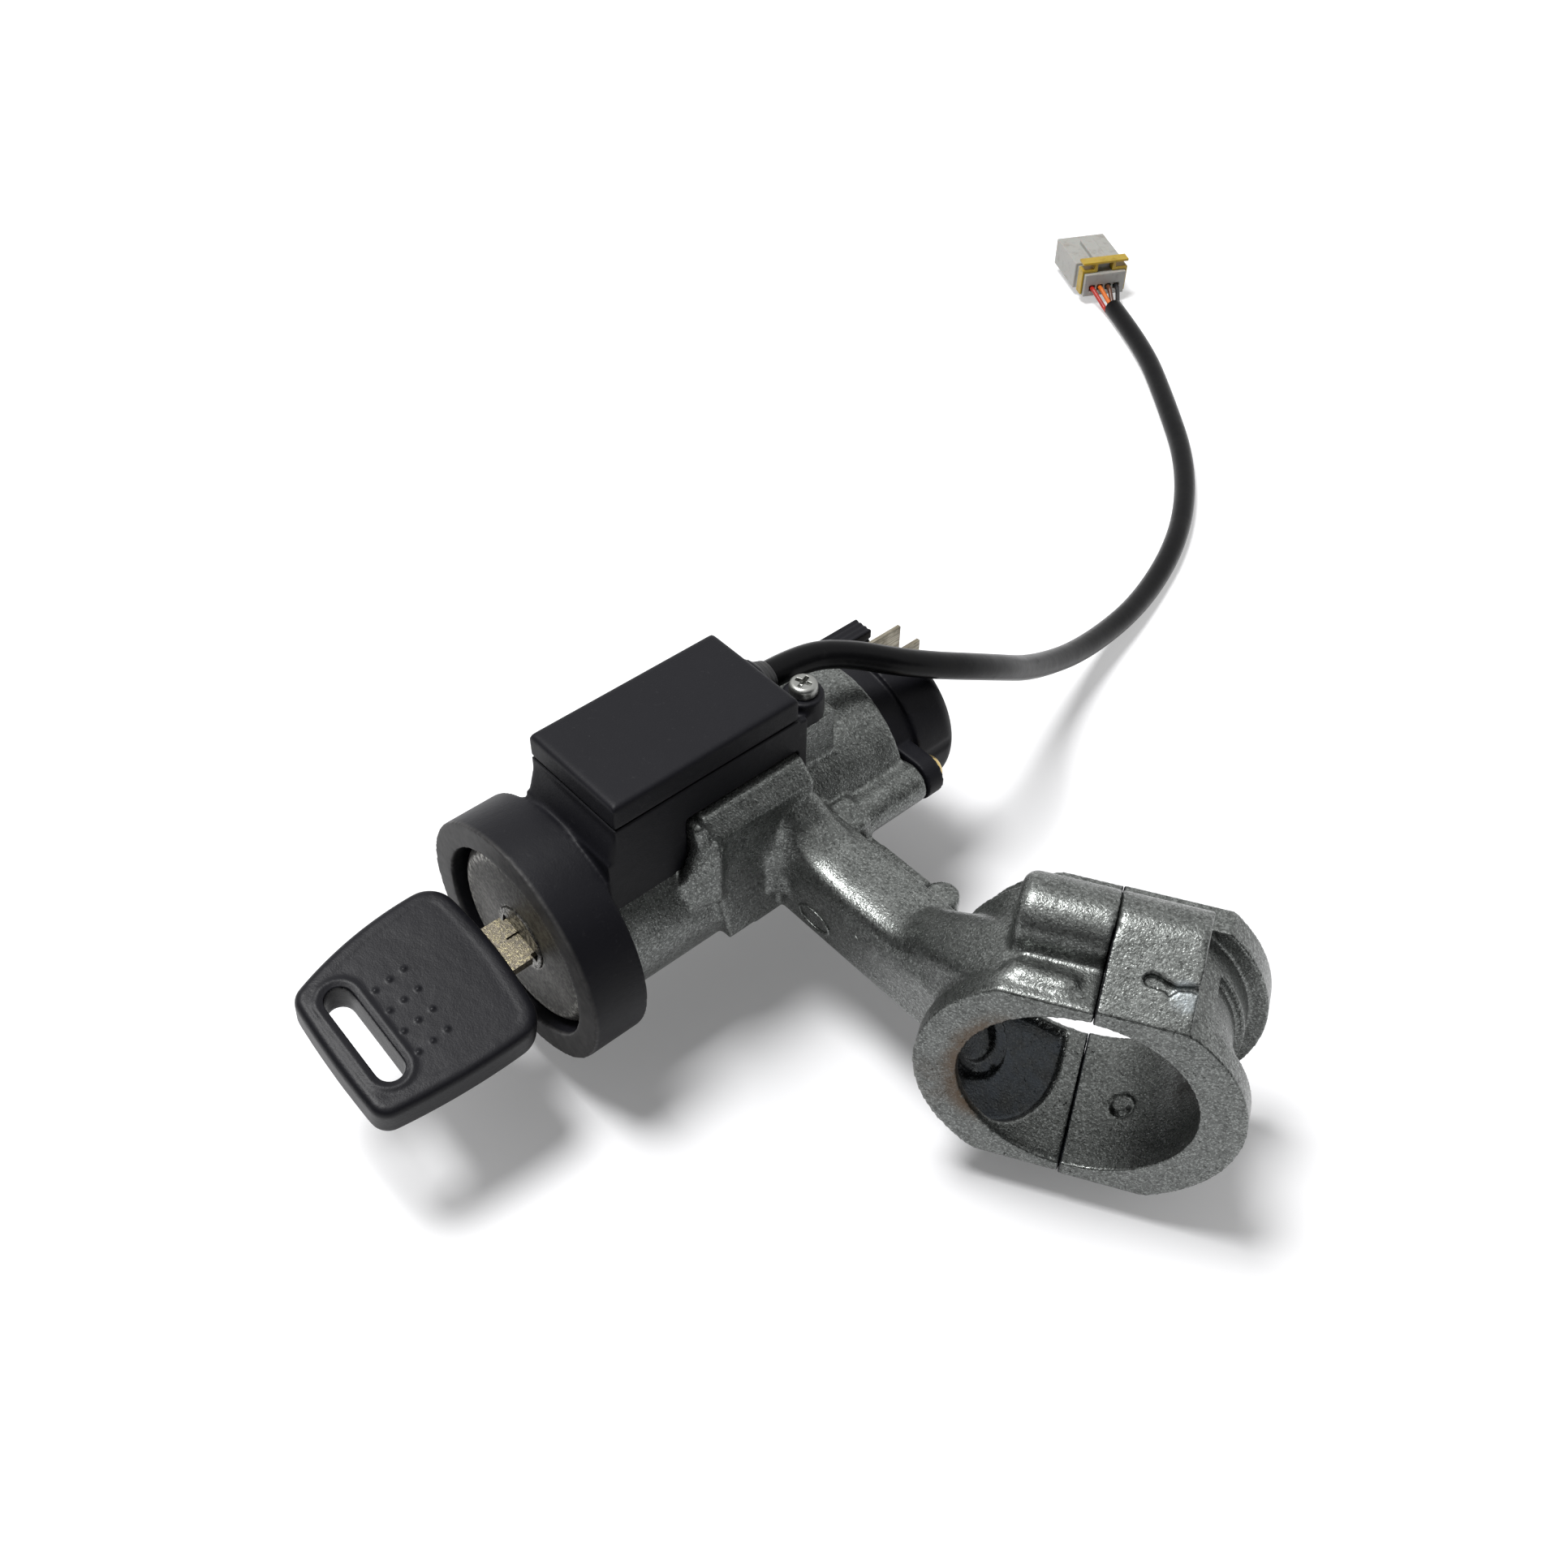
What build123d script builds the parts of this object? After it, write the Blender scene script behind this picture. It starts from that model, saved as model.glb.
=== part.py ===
from build123d import *
import os
from math import atan2, cos, degrees, pi, radians, sin, tan

# Ignition switch with steering lock, modelled in millimetres at real size.
# Origin: centre of the aerial ring's front face. +Y runs back along the lock's axis,
# +X runs along the arm to the steering column clamp, +Z is up through the aerial case.

# Driving dimensions of the lock barrel and its housing
barrel_r = 18.7
barrel_front = 5.0
barrel_rear = 80.0
face_r = 17.6
face_y = 1.8
rotor_r = 8.0
nose_r = 6.3
nose_end = 4.0
rotor_end = 41.0
sleeve_r = 12.5
sleeve_end = 44.0
pin_y = 40.5
chamber_r = 12.5
spindle_r = 5.0
spindle_waist_r = 3.4

# Driving dimensions of the steering lock bolt, which slides in the arm
bolt_y = 52.5
bolt_z = 0.5
bolt_width = 8.0
bolt_height = 11.0
bolt_tip_x = 60.5
bolt_travel = 8.0
slide_half_width = 3.0
slide_half_height = 6.2
spring_z = -11.6
saddle_top = 23.7
block_foot = -8.2
arm_width = 14.0
arm_height = 17.4
block_x = 19.7

# Driving dimensions of the column clamp. Its bore leans in plan from the lock's axis.
clamp_x = 80.7
clamp_y = 63.9
clamp_turn = 31.0
column_r = 20.3
clamp_half_length = 14.7
flange_r = 28.0
flange_front = 4.6
waist_r = 25.2
rear_flange_y = 9.3
rear_flange_r = 28.6
rear_flat = 21.8
socket_r = 26.6
pocket_r = 24.4
socket_rear_r = 24.2
flat_half = 23.3
boss_r = 6.9
screw_offset = 25.0
screw_along = 1.3
split_gap = 0.3
shear_bolt_r = 3.0

# Driving dimensions of the aerial unit
ring_r = 24.5
ring_bore_r = 20.0
ring_depth = 11.4
case_x0, case_x1 = -9.0, 14.8
case_y0, case_y1 = 14.0, 54.8
case_z0, case_seam, case_top = 24.0, 31.2, 36.7
case_wall = 1.6
ear_x, ear_y = 9.0, 61.0

# Driving dimensions of the key. Its flat is turned a little from level.
key_turn = 12.0
blade_width = 8.4
blade_thick = 2.2
blade_length = 37.5
head_thick = 7.8

# Driving dimensions of the rear electrical switch
switch_r = 16.6
switch_rear = 97.0
bay_floor = 88.2
switch_screw_x, switch_screw_z = 19.4, 2.5

# Driving dimensions of the aerial cable
cable_r = 2.75
wire_r = 0.65


def place(low, high):
    """A rectangular solid between two corners."""
    centre = [(a + b) / 2 for a, b in zip(low, high)]
    size = [b - a for a, b in zip(low, high)]
    return Pos(*centre) * Box(*size)


def along_y(radius, y0, y1, x=0.0, z=0.0):
    """A round bar lying along the lock's axis."""
    return Pos(x, (y0 + y1) / 2, z) * Rot(90, 0, 0) * Cylinder(radius, y1 - y0)


def along_x(radius, x0, x1, y=0.0, z=0.0):
    """A round bar lying along X."""
    return Pos((x0 + x1) / 2, y, z) * Rot(0, 90, 0) * Cylinder(radius, x1 - x0)


def upright(radius, z0, z1, x=0.0, y=0.0):
    """A round bar standing on end."""
    return Pos(x, y, (z0 + z1) / 2) * Cylinder(radius, z1 - z0)


def soften(solid, edges, radius):
    """Round edges, and keep the sharp solid where the kernel can't."""
    try:
        return fillet(edges, radius)
    except Exception:
        return solid


def in_clamp(solid):
    """Move a solid from the clamp's own axes, X across the split and Y along the column."""
    return Pos(clamp_x, clamp_y, 0) * Rot(0, 0, clamp_turn) * solid


def in_key(solid):
    """Turn a solid from level to the key's angle about the lock's axis."""
    return Rot(0, key_turn, 0) * solid


# Column clamp: the two halves share one casting outline, cut apart at the split

def flattened_disc(radius, y0, y1, flat=flat_half):
    """A disc round the column with flats above and below, where the wall is thin."""
    flats = place((-40, y0, -flat), (40, y1, flat))
    return along_y(radius, y0, y1) & flats


def clamp_front():
    """The front flange, which both halves share."""
    return flattened_disc(flange_r, -clamp_half_length, flange_front - clamp_half_length)


def screw_boss(x0, x1, side):
    """The rounded boss that a clamp bolt runs through, above (1) or below (-1) the column."""
    profile = make_hull(
        [
            *Circle(boss_r).moved(Location((screw_along, screw_offset))).edges(),
            *Rectangle(2 * boss_r, 4).moved(Location((screw_along, flat_half - 3))).edges(),
        ]
    )
    bar = Plane.YZ.offset(x0) * profile
    solid = extrude(bar, x1 - x0)
    return solid if side > 0 else mirror(solid, Plane.XY)


def sloped_boss(x0, x1, side):
    """A boss whose front runs down to the clamp's face in one slope, as on the cap."""
    front = -clamp_half_length
    profile = make_hull(
        [
            *Circle(boss_r).moved(Location((screw_along, screw_offset))).edges(),
            *Rectangle(1.0, 3.0).moved(Location((front + 0.6, flat_half - 1.2))).edges(),
            *Rectangle(2 * boss_r, 4).moved(Location((screw_along, flat_half - 3))).edges(),
        ]
    )
    bar = Plane.YZ.offset(x0) * profile
    solid = extrude(bar, x1 - x0)
    return solid if side > 0 else mirror(solid, Plane.XY)


column_bore = along_y(column_r, -30, 30)


def bolt_pocket():
    """The pocket in the bore that the lock bolt comes out through."""
    pocket = place((-30, -12.4, -16.5), (-3.2, 8.6, 12.0))
    pocket = soften(pocket, pocket.edges().filter_by(Axis.X), 8.0)
    return pocket & along_y(pocket_r, -20, 20)


def clamp_socket():
    """The half that is cast with the arm."""
    waist = flange_front - clamp_half_length
    half = clamp_front()
    half += flattened_disc(socket_r, waist, rear_flange_y + 1)
    half += flattened_disc(socket_rear_r, rear_flange_y, clamp_half_length, rear_flat)
    for side in (1, -1):
        boss = screw_boss(-16.0, 0, side)
        crown = boss.edges().sort_by(Axis.X)[:8].sort_by(Axis.Z)[-1 if side > 0 else 0]
        half += soften(boss, crown, 2.4)
    half &= place((-40, -40, -45), (-split_gap / 2, 40, 45))
    return half - column_bore - bolt_pocket()


def cap_tear():
    """The ragged hollow in the cap's slope where the metal tore when a bolt was drilled out."""
    slope = Plane(origin=(0, -4.15, 30.33), x_dir=(1, 0, 0), z_dir=(0, -0.507, 0.862))
    upper = [(5.9, -5.4), (6.4, -4.5), (7.1, -4.2), (8.0, -4.3), (9.8, -4.9), (11.3, -5.3), (12.6, -4.9)]
    lower = [(15.4, -4.2), (15.4, -5.7), (13.2, -5.7), (11.5, -6.0), (10.4, -7.4), (9.6, -6.6), (8.1, -6.4),
             (6.4, -6.3)]
    outline = make_face(Polyline(*upper, *lower, close=True))
    return extrude(slope * outline, 2.0, dir=(0, 0.507, -0.862))


def clamp_cap():
    """The loose half, held by the two shear bolts, with the tear that its removal left."""
    waist = flange_front - clamp_half_length
    half = clamp_front()
    half += flattened_disc(waist_r, waist, rear_flange_y)
    half += flattened_disc(rear_flange_r, rear_flange_y, clamp_half_length, rear_flat)
    for side in (1, -1):
        half += sloped_boss(0, 14.8, side)
    half &= place((split_gap / 2, -40, -45), (40, 40, 45))
    half -= column_bore
    for side in (1, -1):
        half -= along_x(shear_bolt_r + 0.25, -5, 20, screw_along, side * screw_offset)
        half -= along_x(shear_bolt_r + 1.6, 11.4, 20, screw_along, side * screw_offset)
    # Curved relief on the round of the cap, and the pin mark in the bore
    relief = along_y(flange_r + 6, -4.5, 4.5) - along_y(waist_r - 1.6, -5, 5)
    relief &= place((15.5, -6, -12), (40, 6, 17))
    half -= relief
    pin_mark = Rot(0, 25, 0) * Pos(0, 0, -column_r - 0.3) * Cylinder(2.0, 1.4)
    half -= pin_mark
    return half - cap_tear()


def shear_bolts():
    """Two clamp bolts, their heads sheared off to a short stub."""
    bolts = []
    for side in (1, -1):
        z = side * screw_offset
        bolt = along_x(shear_bolt_r, -10.6, 11.2, screw_along, z)
        bolt += along_x(shear_bolt_r + 1.2, 11.4, 13.2, screw_along, z)
        bolt += along_x(shear_bolt_r - 0.8, 11.0, 14.2, screw_along, z)
        bolts.append(bolt)
    return bolts[0] + bolts[1]


# Lock housing: one zinc die casting from the lock barrel to the clamp

def arm_bar():
    """The hollow arm that guides the lock bolt, with one long rounded top edge."""
    left = bolt_y - arm_width / 2
    right = bolt_y + arm_width / 2
    low = bolt_z - arm_height / 2
    high = bolt_z + arm_height / 2
    section = Polyline((left + 1.2, low), (right, low), (right, high), (left - 0.4, high), close=True)
    bar = extrude(Plane.YZ.offset(8.0) * make_face(section), 55.0)
    top_edge = bar.edges().filter_by(Axis.X).sort_by(Axis.Z)[-2:].sort_by(Axis.Y)[0]
    bar = soften(bar, top_edge, 3.6)
    return bar


def arm_block():
    """The block under the saddle's edge: its flanks draw in towards the bottom."""
    flank = Polyline(
        (31.0, saddle_top), (54.5, saddle_top), (54.5, 8.0), (46.5, block_foot),
        (34.0, block_foot), (32.0, 4.0), close=True
    )
    block = extrude(Plane.YZ * make_face(flank), block_x, dir=(1, 0, 0))
    outer_top = block.edges().filter_by(Axis.Y).sort_by(Axis.Z)[-2:].sort_by(Axis.X)[-1]
    return chamfer(outer_top, 3.4)


def arm_root():
    """The flare that carries the arm up the block, tall at the block and level at its end."""
    low, far_side = bolt_z - arm_height / 2, bolt_y + arm_width / 2
    sections = []
    for x, near, far, top in ((block_x - 0.6, 46.4, 56.0, 17.8), (23.0, 45.9, 57.4, 13.0),
                              (27.0, 45.6, 58.6, 10.4), (32.0, bolt_y - arm_width / 2, far_side, 9.1)):
        outline = Polyline((near + 1.2, low), (far, low), (far, top), (near - 0.4, top), close=True)
        face = make_face(outline)
        face = fillet(face.vertices().sort_by(Axis.Y)[-2:], 3.4)
        sections.append(Plane.YZ.offset(x) * face)
    return loft(sections, ruled=True)


def lock_housing():
    body = along_y(barrel_r, barrel_front, barrel_rear)
    # Saddle for the aerial case, and the block that the arm springs from
    body += place((-9.0, 31.0, 0), (14.6, 54.5, saddle_top))
    body += arm_block()
    body += place((-14.5, 44.5, -17.2), (14.5, 60.5, 0))
    # Post for the case screw
    post = place((-2.0, 56.8, 0), (12.0, 66.6, 25.3))
    body += post
    # Arm, its web, the web's round pad and the switch screw bosses
    body += arm_bar() + arm_root()
    web = Polyline((17, 57), (17, 66.0), (41, 66.6), (49, 65.0), (57, 60.0), (57, 57), close=True)
    body += Pos(0, 0, -4.0) * extrude(make_face(web), 4.6)
    body += upright(3.3, -4.0, 1.8, 43.3, 65.2)
    for side in (1, -1):
        x, z = side * switch_screw_x, side * switch_screw_z
        body += along_y(4.3, 62.5, 81.0, x, z)
        near, far = sorted((side * 9.0, side * (switch_screw_x - 0.4)))
        body += place((near, 62.5, z - 4.3), (far, barrel_rear, z + 4.3))
    body += in_clamp(clamp_socket())
    # The arm's end is trimmed back to the column and to the split
    body -= in_clamp(column_bore)
    body -= in_clamp(place((-split_gap / 2, -30, -30), (30, 30, 30)))
    body -= in_clamp(bolt_pocket())
    # Stepped bore down the lock's axis
    body -= along_y(sleeve_r + 0.05, barrel_front - 1, sleeve_end)
    body -= along_y(chamber_r, sleeve_end - 0.1, 66.0)
    body -= along_y(13.6, 66.0, barrel_rear + 1)
    # Slide chamber and the channel that the bolt runs in
    body -= place(
        (-15.4, bolt_y - slide_half_width - 0.3, -slide_half_height - 0.4),
        (14.6 + bolt_travel, bolt_y + slide_half_width + 0.3, slide_half_height + 0.4),
    )
    body -= place(
        (11.0, bolt_y - bolt_width / 2 - 0.3, bolt_z - bolt_height / 2 - 0.3),
        (72.0, bolt_y + bolt_width / 2 + 0.3, bolt_z + bolt_height / 2 + 0.3),
    ) & place((-50, 0, -50), (66, 100, 50))
    body -= place((-12.6, 46.6, -18), (12.6, 58.4, -9.0))
    body -= place((1.6, bolt_y - 2.3, -9.5), (4.4 + bolt_travel, bolt_y + 2.3, -6.0))
    # The seat of the rear switch, and the screw and pin holes
    body -= along_y(switch_r + 0.3, barrel_rear, barrel_rear + 2)
    body -= upright(1.5, -barrel_r - 1, -sleeve_r + 1, 0, pin_y)
    body -= upright(1.3, 17.0, 26.0, ear_x, ear_y)
    for side in (1, -1):
        body -= along_y(1.7, 72.0, 82.0, side * switch_screw_x, side * switch_screw_z)
    for side in (1, -1):
        hole = along_x(shear_bolt_r + 0.03, -11.0, 5, screw_along, side * screw_offset)
        body -= in_clamp(hole)
    return body


def chamber_cover():
    """The plate staked into the underside to close the slide chamber."""
    return place((-12.5, 46.7, -16.9), (12.5, 58.3, -15.2))


# Lock cylinder

def lock_sleeve():
    """The fixed sleeve whose flange is the worn grey face round the key."""
    sleeve = along_y(sleeve_r, 4.0, sleeve_end - 0.2)
    face = along_y(face_r, face_y, barrel_front - 0.05)
    rim = face.edges().filter_by(GeomType.CIRCLE).sort_by(Axis.Y)[0]
    sleeve += chamfer(rim, 1.3)
    sleeve -= along_y(nose_r + 0.05, 0, nose_end + 1)
    sleeve -= along_y(rotor_r + 0.05, nose_end, sleeve_end + 1)
    sleeve -= along_y(rotor_r + 1.6, 7.0, 38.0)
    sleeve -= upright(1.5, -sleeve_r - 1, -rotor_r - 2.2, 0, pin_y)
    return sleeve


def rotor():
    """The turning plug, with the keyway through it and a slot for each wafer."""
    plug = along_y(nose_r, face_y - 0.3, nose_end + 1)
    plug += along_y(rotor_r, nose_end + 0.1, rotor_end)
    keyway = place((-5.3, -5, -1.35), (5.3, rotor_end - 2.0, 1.35))
    plug -= in_key(keyway)
    for y in wafer_places:
        plug -= in_key(place((-9.2, y - 0.65, -3.1), (9.2, y + 0.65, 3.1)))
    return plug


wafer_pitch = 3.4
wafer_places = [9.0 + wafer_pitch * i for i in range(8)]


def wafer(y):
    """A brass plate with a window that the blade passes through."""
    plate = in_key(place((-7.2, y - 0.5, -2.8), (7.2, y + 0.5, 2.8)))
    window = in_key(place((-5.6, y - 1, -1.6), (5.6, y + 1, 1.6)))
    return plate - window


def wafers(first):
    group = Part()
    for y in wafer_places[first::2]:
        group += wafer(y)
    return group


def retaining_pin():
    """The small steel pin that keeps the sleeve in the housing."""
    return upright(1.5, -barrel_r + 0.6, -rotor_r - 2.2, 0, pin_y)


def spindle():
    """The tail that turns the switch, with the waist that the slide passes round."""
    bar = along_y(spindle_r, rotor_end + 0.05, 48.4)
    bar += along_y(spindle_waist_r, 48.4, 57.0)
    bar += along_y(spindle_r, 57.0, 75.0)
    bar += place((-4.6, 75.0, -1.8), (4.6, 82.8, 1.8)) & along_y(4.6, 74, 84)
    return bar


def hold_back_cam():
    """The drum that holds the slide back while the lock is on, one flat side at rest."""
    drum = along_y(11.0, 57.4, 61.0) - along_y(spindle_r, 57, 62)
    drum -= place((-12, 57, 6.2), (12, 62, 12))
    return drum


def return_spring():
    """The flat-wound spring that brings the key back from start."""
    coil = Part()
    for i in range(3):
        y = 64.6 + 2.6 * i
        coil += along_y(8.6, y, y + 1.5) - along_y(7.1, y - 1, y + 3)
    coil += place((-0.7, 64.6, 6.9), (0.7, 71.3, 8.4))
    coil += place((-0.7, 69.8, 8.0), (0.7, 71.3, 12.3))
    return coil


# Steering lock bolt and the slide that carries it

def steering_bolt():
    """The square bolt: chamfered nose, a groove down each flank and a slot for the slide's tongue."""
    low = (14.2, bolt_y - bolt_width / 2, bolt_z - bolt_height / 2)
    high = (bolt_tip_x, bolt_y + bolt_width / 2, bolt_z + bolt_height / 2)
    bar = place(low, high)
    nose = bar.edges().filter_by(Axis.Y).sort_by(Axis.X)[-2:]
    bar = chamfer(nose, 2.0)
    for y in (bolt_y - bolt_width / 2, bolt_y + bolt_width / 2):
        bar -= place((30, y - 0.8, bolt_z - 1.5), (54, y + 0.8, bolt_z + 1.5))
    bar -= place((14, bolt_y - 1.6, -3.1), (19.3, bolt_y + 1.6, 8))
    bar -= place((17.1, bolt_y - 2.7, -3.1), (19.3, bolt_y + 2.7, 8))
    return bar


def bolt_slide():
    """The frame round the spindle, with a tongue for the bolt and a foot for the spring."""
    width, height = slide_half_width, slide_half_height
    frame = place((-15.0, bolt_y - width, -height), (14.0, bolt_y + width, height))
    frame -= place((-4.3 - bolt_travel, bolt_y - 4, -4.5), (4.3, bolt_y + 4, 4.5))
    frame += place((13.8, bolt_y - 1.5, -3.0), (19.2, bolt_y + 1.5, 4.5))
    frame += place((17.2, bolt_y - 2.6, -3.0), (19.2, bolt_y + 2.6, 4.5))
    frame += place((2.0, bolt_y - 2.0, -13.2), (4.0, bolt_y + 2.0, -5.0))
    return frame


def bolt_spring():
    """The spring that drives the slide's foot, and so the bolt, towards the column."""
    coil = Part()
    for i in range(6):
        x = -12.3 + 2.6 * i
        ring = along_x(2.2, x, x + 1.2, bolt_y, spring_z) - along_x(1.3, x - 1, x + 2, bolt_y, spring_z)
        coil += ring
    coil += place((-12.1, bolt_y - 0.4, spring_z - 2.05), (1.7, bolt_y + 0.4, spring_z - 1.45))
    return coil


# Aerial unit

def aerial_case():
    """One moulding: the ring round the lock, the neck, the open box and the screw ear."""
    ring = along_y(ring_r, 0, ring_depth)
    neck = place((case_x0, ring_depth + 0.6, 12.0), (case_x1, 29.0, case_z0 + 0.1))
    corner = neck.edges().filter_by(Axis.X).sort_by(Axis.Z)[:2].sort_by(Axis.Y)[-1]
    neck = fillet(corner, 3.0)
    bridge = along_y(ring_r - 0.6, ring_depth - 0.4, ring_depth + 1.0)
    bridge &= place((case_x0, ring_depth - 1.0, 12.0), (case_x1, ring_depth + 2.0, case_z0))
    case = ring + bridge + neck
    case += place((case_x0, case_y0, case_z0), (case_x1, case_y1, case_seam))
    case += place((case_x1 - 1.4, case_y1, 17.5), (case_x1, case_y1 + 2.3, case_seam - 0.6))
    case += place((6.2, case_y1 - 0.5, 25.5), (12.8, ear_y, 28.6))
    case += upright(3.9, 25.5, 30.6, ear_x, ear_y)
    case += along_y(4.9, case_y1 - 0.5, case_y1 + 1.4, cable_exit[0], cable_exit[2])
    hollow = place(
        (case_x0 + case_wall, case_y0 + case_wall, case_z0 + case_wall),
        (case_x1 - case_wall, case_y1 - case_wall, case_seam + 5),
    )
    case -= hollow
    case -= along_y(ring_bore_r, -1, 5.6)
    case -= along_y(barrel_r + 0.15, 5.0, 60.0)
    case -= along_y(22.3, 7.0, 10.2)
    case -= upright(1.6, 20, 40, ear_x, ear_y)
    case -= along_y(3.9, case_y1 - 3, case_y1 + 9, cable_exit[0], cable_exit[2])
    return case


def case_lid():
    """The lid that closes the box, its seam a little below the edge."""
    lid = place((case_x0, case_y0, case_seam + 0.15), (case_x1, case_y1, case_top))
    lid = fillet(lid.edges().group_by(Axis.Z)[-1], 0.9)
    hollow = place(
        (case_x0 + case_wall, case_y0 + case_wall, case_seam),
        (case_x1 - case_wall, case_y1 - case_wall, case_top - case_wall),
    )
    lid -= hollow
    lid -= along_y(4.95, case_y1 - 3, case_y1 + 9, cable_exit[0], cable_exit[2])
    return lid


def case_screw():
    """Pan-head screw with a cross recess."""
    head = upright(2.7, 30.7, 33.0, ear_x, ear_y)
    head = fillet(head.edges().group_by(Axis.Z)[-1], 0.9)
    screw = head + upright(1.25, 17.5, 31.0, ear_x, ear_y)
    for turn in (0, 90):
        screw -= Pos(ear_x, ear_y, 32.6) * Rot(0, 0, turn + 20) * Box(3.2, 0.8, 1.8)
    return screw


def aerial_coil():
    return along_y(21.9, 7.3, 9.9) - along_y(19.6, 7, 10)


def circuit_board():
    board = place((case_x0 + 2.0, case_y0 + 2.2, 27.0), (case_x1 - 2.0, case_y1 - 3.4, 28.4))
    for x in (-4.0, 10.0):
        board -= upright(1.1, 25, 30, x, case_y0 + 6)
    return board


def board_components():
    group = place((-3.5, 26, 28.4), (6.5, 36, 30.4))
    group += place((7.5, 22, 28.4), (11.0, 30, 30.2))
    group += upright(2.4, 28.4, 33.6, -3.0, 42.0)
    group += place((1.5, 40, 28.4), (5.0, 45, 30.0))
    group += place((-4.5, 18.5, 28.4), (-1.5, 22.5, 29.8))
    return group


# Cable from the case to its connector. The route is chosen by hand.

cable_exit = (1.3, 55.6, 30.3)
cable_route = [
    cable_exit,
    (1.3, 65.5, 30.3),
    (3.4, 75.2, 28.2),
    (10.0, 88.3, 21.8),
    (12.1, 109.9, 9.9),
    (5.2, 132.9, -8.7),
    (-1.1, 160.1, -22.8),
    (-7.7, 190.4, -28.9),
    (-19.1, 219.2, -29.0),
    (-37.6, 244.0, -28.9),
    (-62.3, 264.5, -28.9),
    (-83.8, 280.8, -28.7),
    (-104.6, 291.5, -28.9),
]


def corner_radii(points):
    """The largest arc that each corner's two runs allow."""
    radii = []
    for a, b, c in zip(points, points[1:], points[2:]):
        first, second = Vector(*b) - Vector(*a), Vector(*c) - Vector(*b)
        half_turn = radians(first.get_angle(second)) / 2
        radii.append(0.45 * min(first.length, second.length) / tan(half_turn))
    return radii


def tube_along(points, radius):
    """A plain tube along straight runs joined by tangent arcs."""
    radii = corner_radii(points)
    path = FilletPolyline(*points, radius=radii)
    start = Plane(origin=points[0], z_dir=path % 0)
    tube = sweep(start * Circle(radius), path=path)
    expected = pi * radius ** 2 * path.length
    print("tube length", round(path.length, 1), "radii", [round(r, 1) for r in radii],
          "volume ratio", round(tube.volume / expected, 4))
    return tube


def cable_grommet():
    """Rubber sleeve where the cable leaves the case."""
    x, y, z = cable_exit
    sleeve = along_y(3.85, case_y1 - 2.5, case_y1 + 2.0, x, z)
    sleeve += along_y(4.4, case_y1 + 1.5, case_y1 + 2.7, x, z)
    sleeve += along_y(3.5, case_y1 + 2.0, case_y1 + 4.6, x, z)
    return sleeve - along_y(cable_r, y - 6, y + 12, x, z)


# The connector lies at the cable's far end, turned with it
cable_end, last_corner = Vector(*cable_route[-1]), Vector(*cable_route[-2])
heading = (cable_end - last_corner).normalized()
plug_turn = degrees(atan2(-heading.X, heading.Y))
wire_run = 8.6
plug_start = cable_end + heading * wire_run + Vector(0, 0, 2.4)


def in_plug(solid):
    """Move a solid from the plug's axes, +Y out of the cable's end."""
    return Pos(*plug_start) * Rot(0, 0, plug_turn) * solid


wire_names = ["wire_red", "wire_orange", "wire_brown", "wire_black"]


def wire(index):
    """One insulated wire from the cable's cut end to its way in the plug."""
    side = index - 1.5
    lift = (-0.75, 0.75, -0.75, 0.75)[index]
    start = Vector(side * 1.35, -wire_run, -2.4 + lift)
    out = Vector(side * 1.35, -wire_run + 1.8, -2.4 + lift)
    near = Vector(side * 2.6, -1.4, 0)
    end = Vector(side * 2.6, 0.6, 0)
    path = FilletPolyline(start, out, near, end, radius=1.6)
    section = Plane(origin=start, z_dir=(0, 1, 0)) * Circle(wire_r)
    return in_plug(sweep(section, path=path))


def connector_housing():
    """White plug body with four ways, a latch ridge and a step."""
    body = place((-6.6, 0, -2.6), (6.6, 15.0, 4.6))
    body += place((-7.6, 6.0, -2.6), (7.6, 22.0, 5.6))
    body += place((-2.2, 3.0, 4.6), (2.2, 17.0, 7.2))
    body -= place((-6.4, 16.0, -1.4), (6.4, 23.0, 4.4))
    for i in range(4):
        x = (i - 1.5) * 2.6
        body -= place((x - 0.95, -1, -0.95), (x + 0.95, 17, 0.95))
    return in_plug(body)


def connector_retainer():
    """Yellow wedge across the wire side that locks the terminals."""
    wedge = place((-7.3, 1.0, 4.7), (-2.4, 4.2, 5.7)) + place((2.4, 1.0, 4.7), (7.3, 4.2, 5.7))
    wedge += place((-7.3, 1.0, -2.2), (-6.7, 4.2, 5.7)) + place((6.7, 1.0, -2.2), (7.3, 4.2, 5.7))
    wedge += place((-7.3, 0.9, 7.3), (7.3, 4.2, 8.1))
    wedge += place((-3.4, 1.0, 4.8), (-2.4, 4.2, 8.0)) + place((2.4, 1.0, 4.8), (3.4, 4.2, 8.0))
    return in_plug(wedge)


def connector_terminals():
    group = Part()
    for i in range(4):
        x = (i - 1.5) * 2.6
        group += place((x - 0.5, 2.0, -0.5), (x + 0.5, 20.0, 0.5))
    return in_plug(group)


# Key

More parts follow.
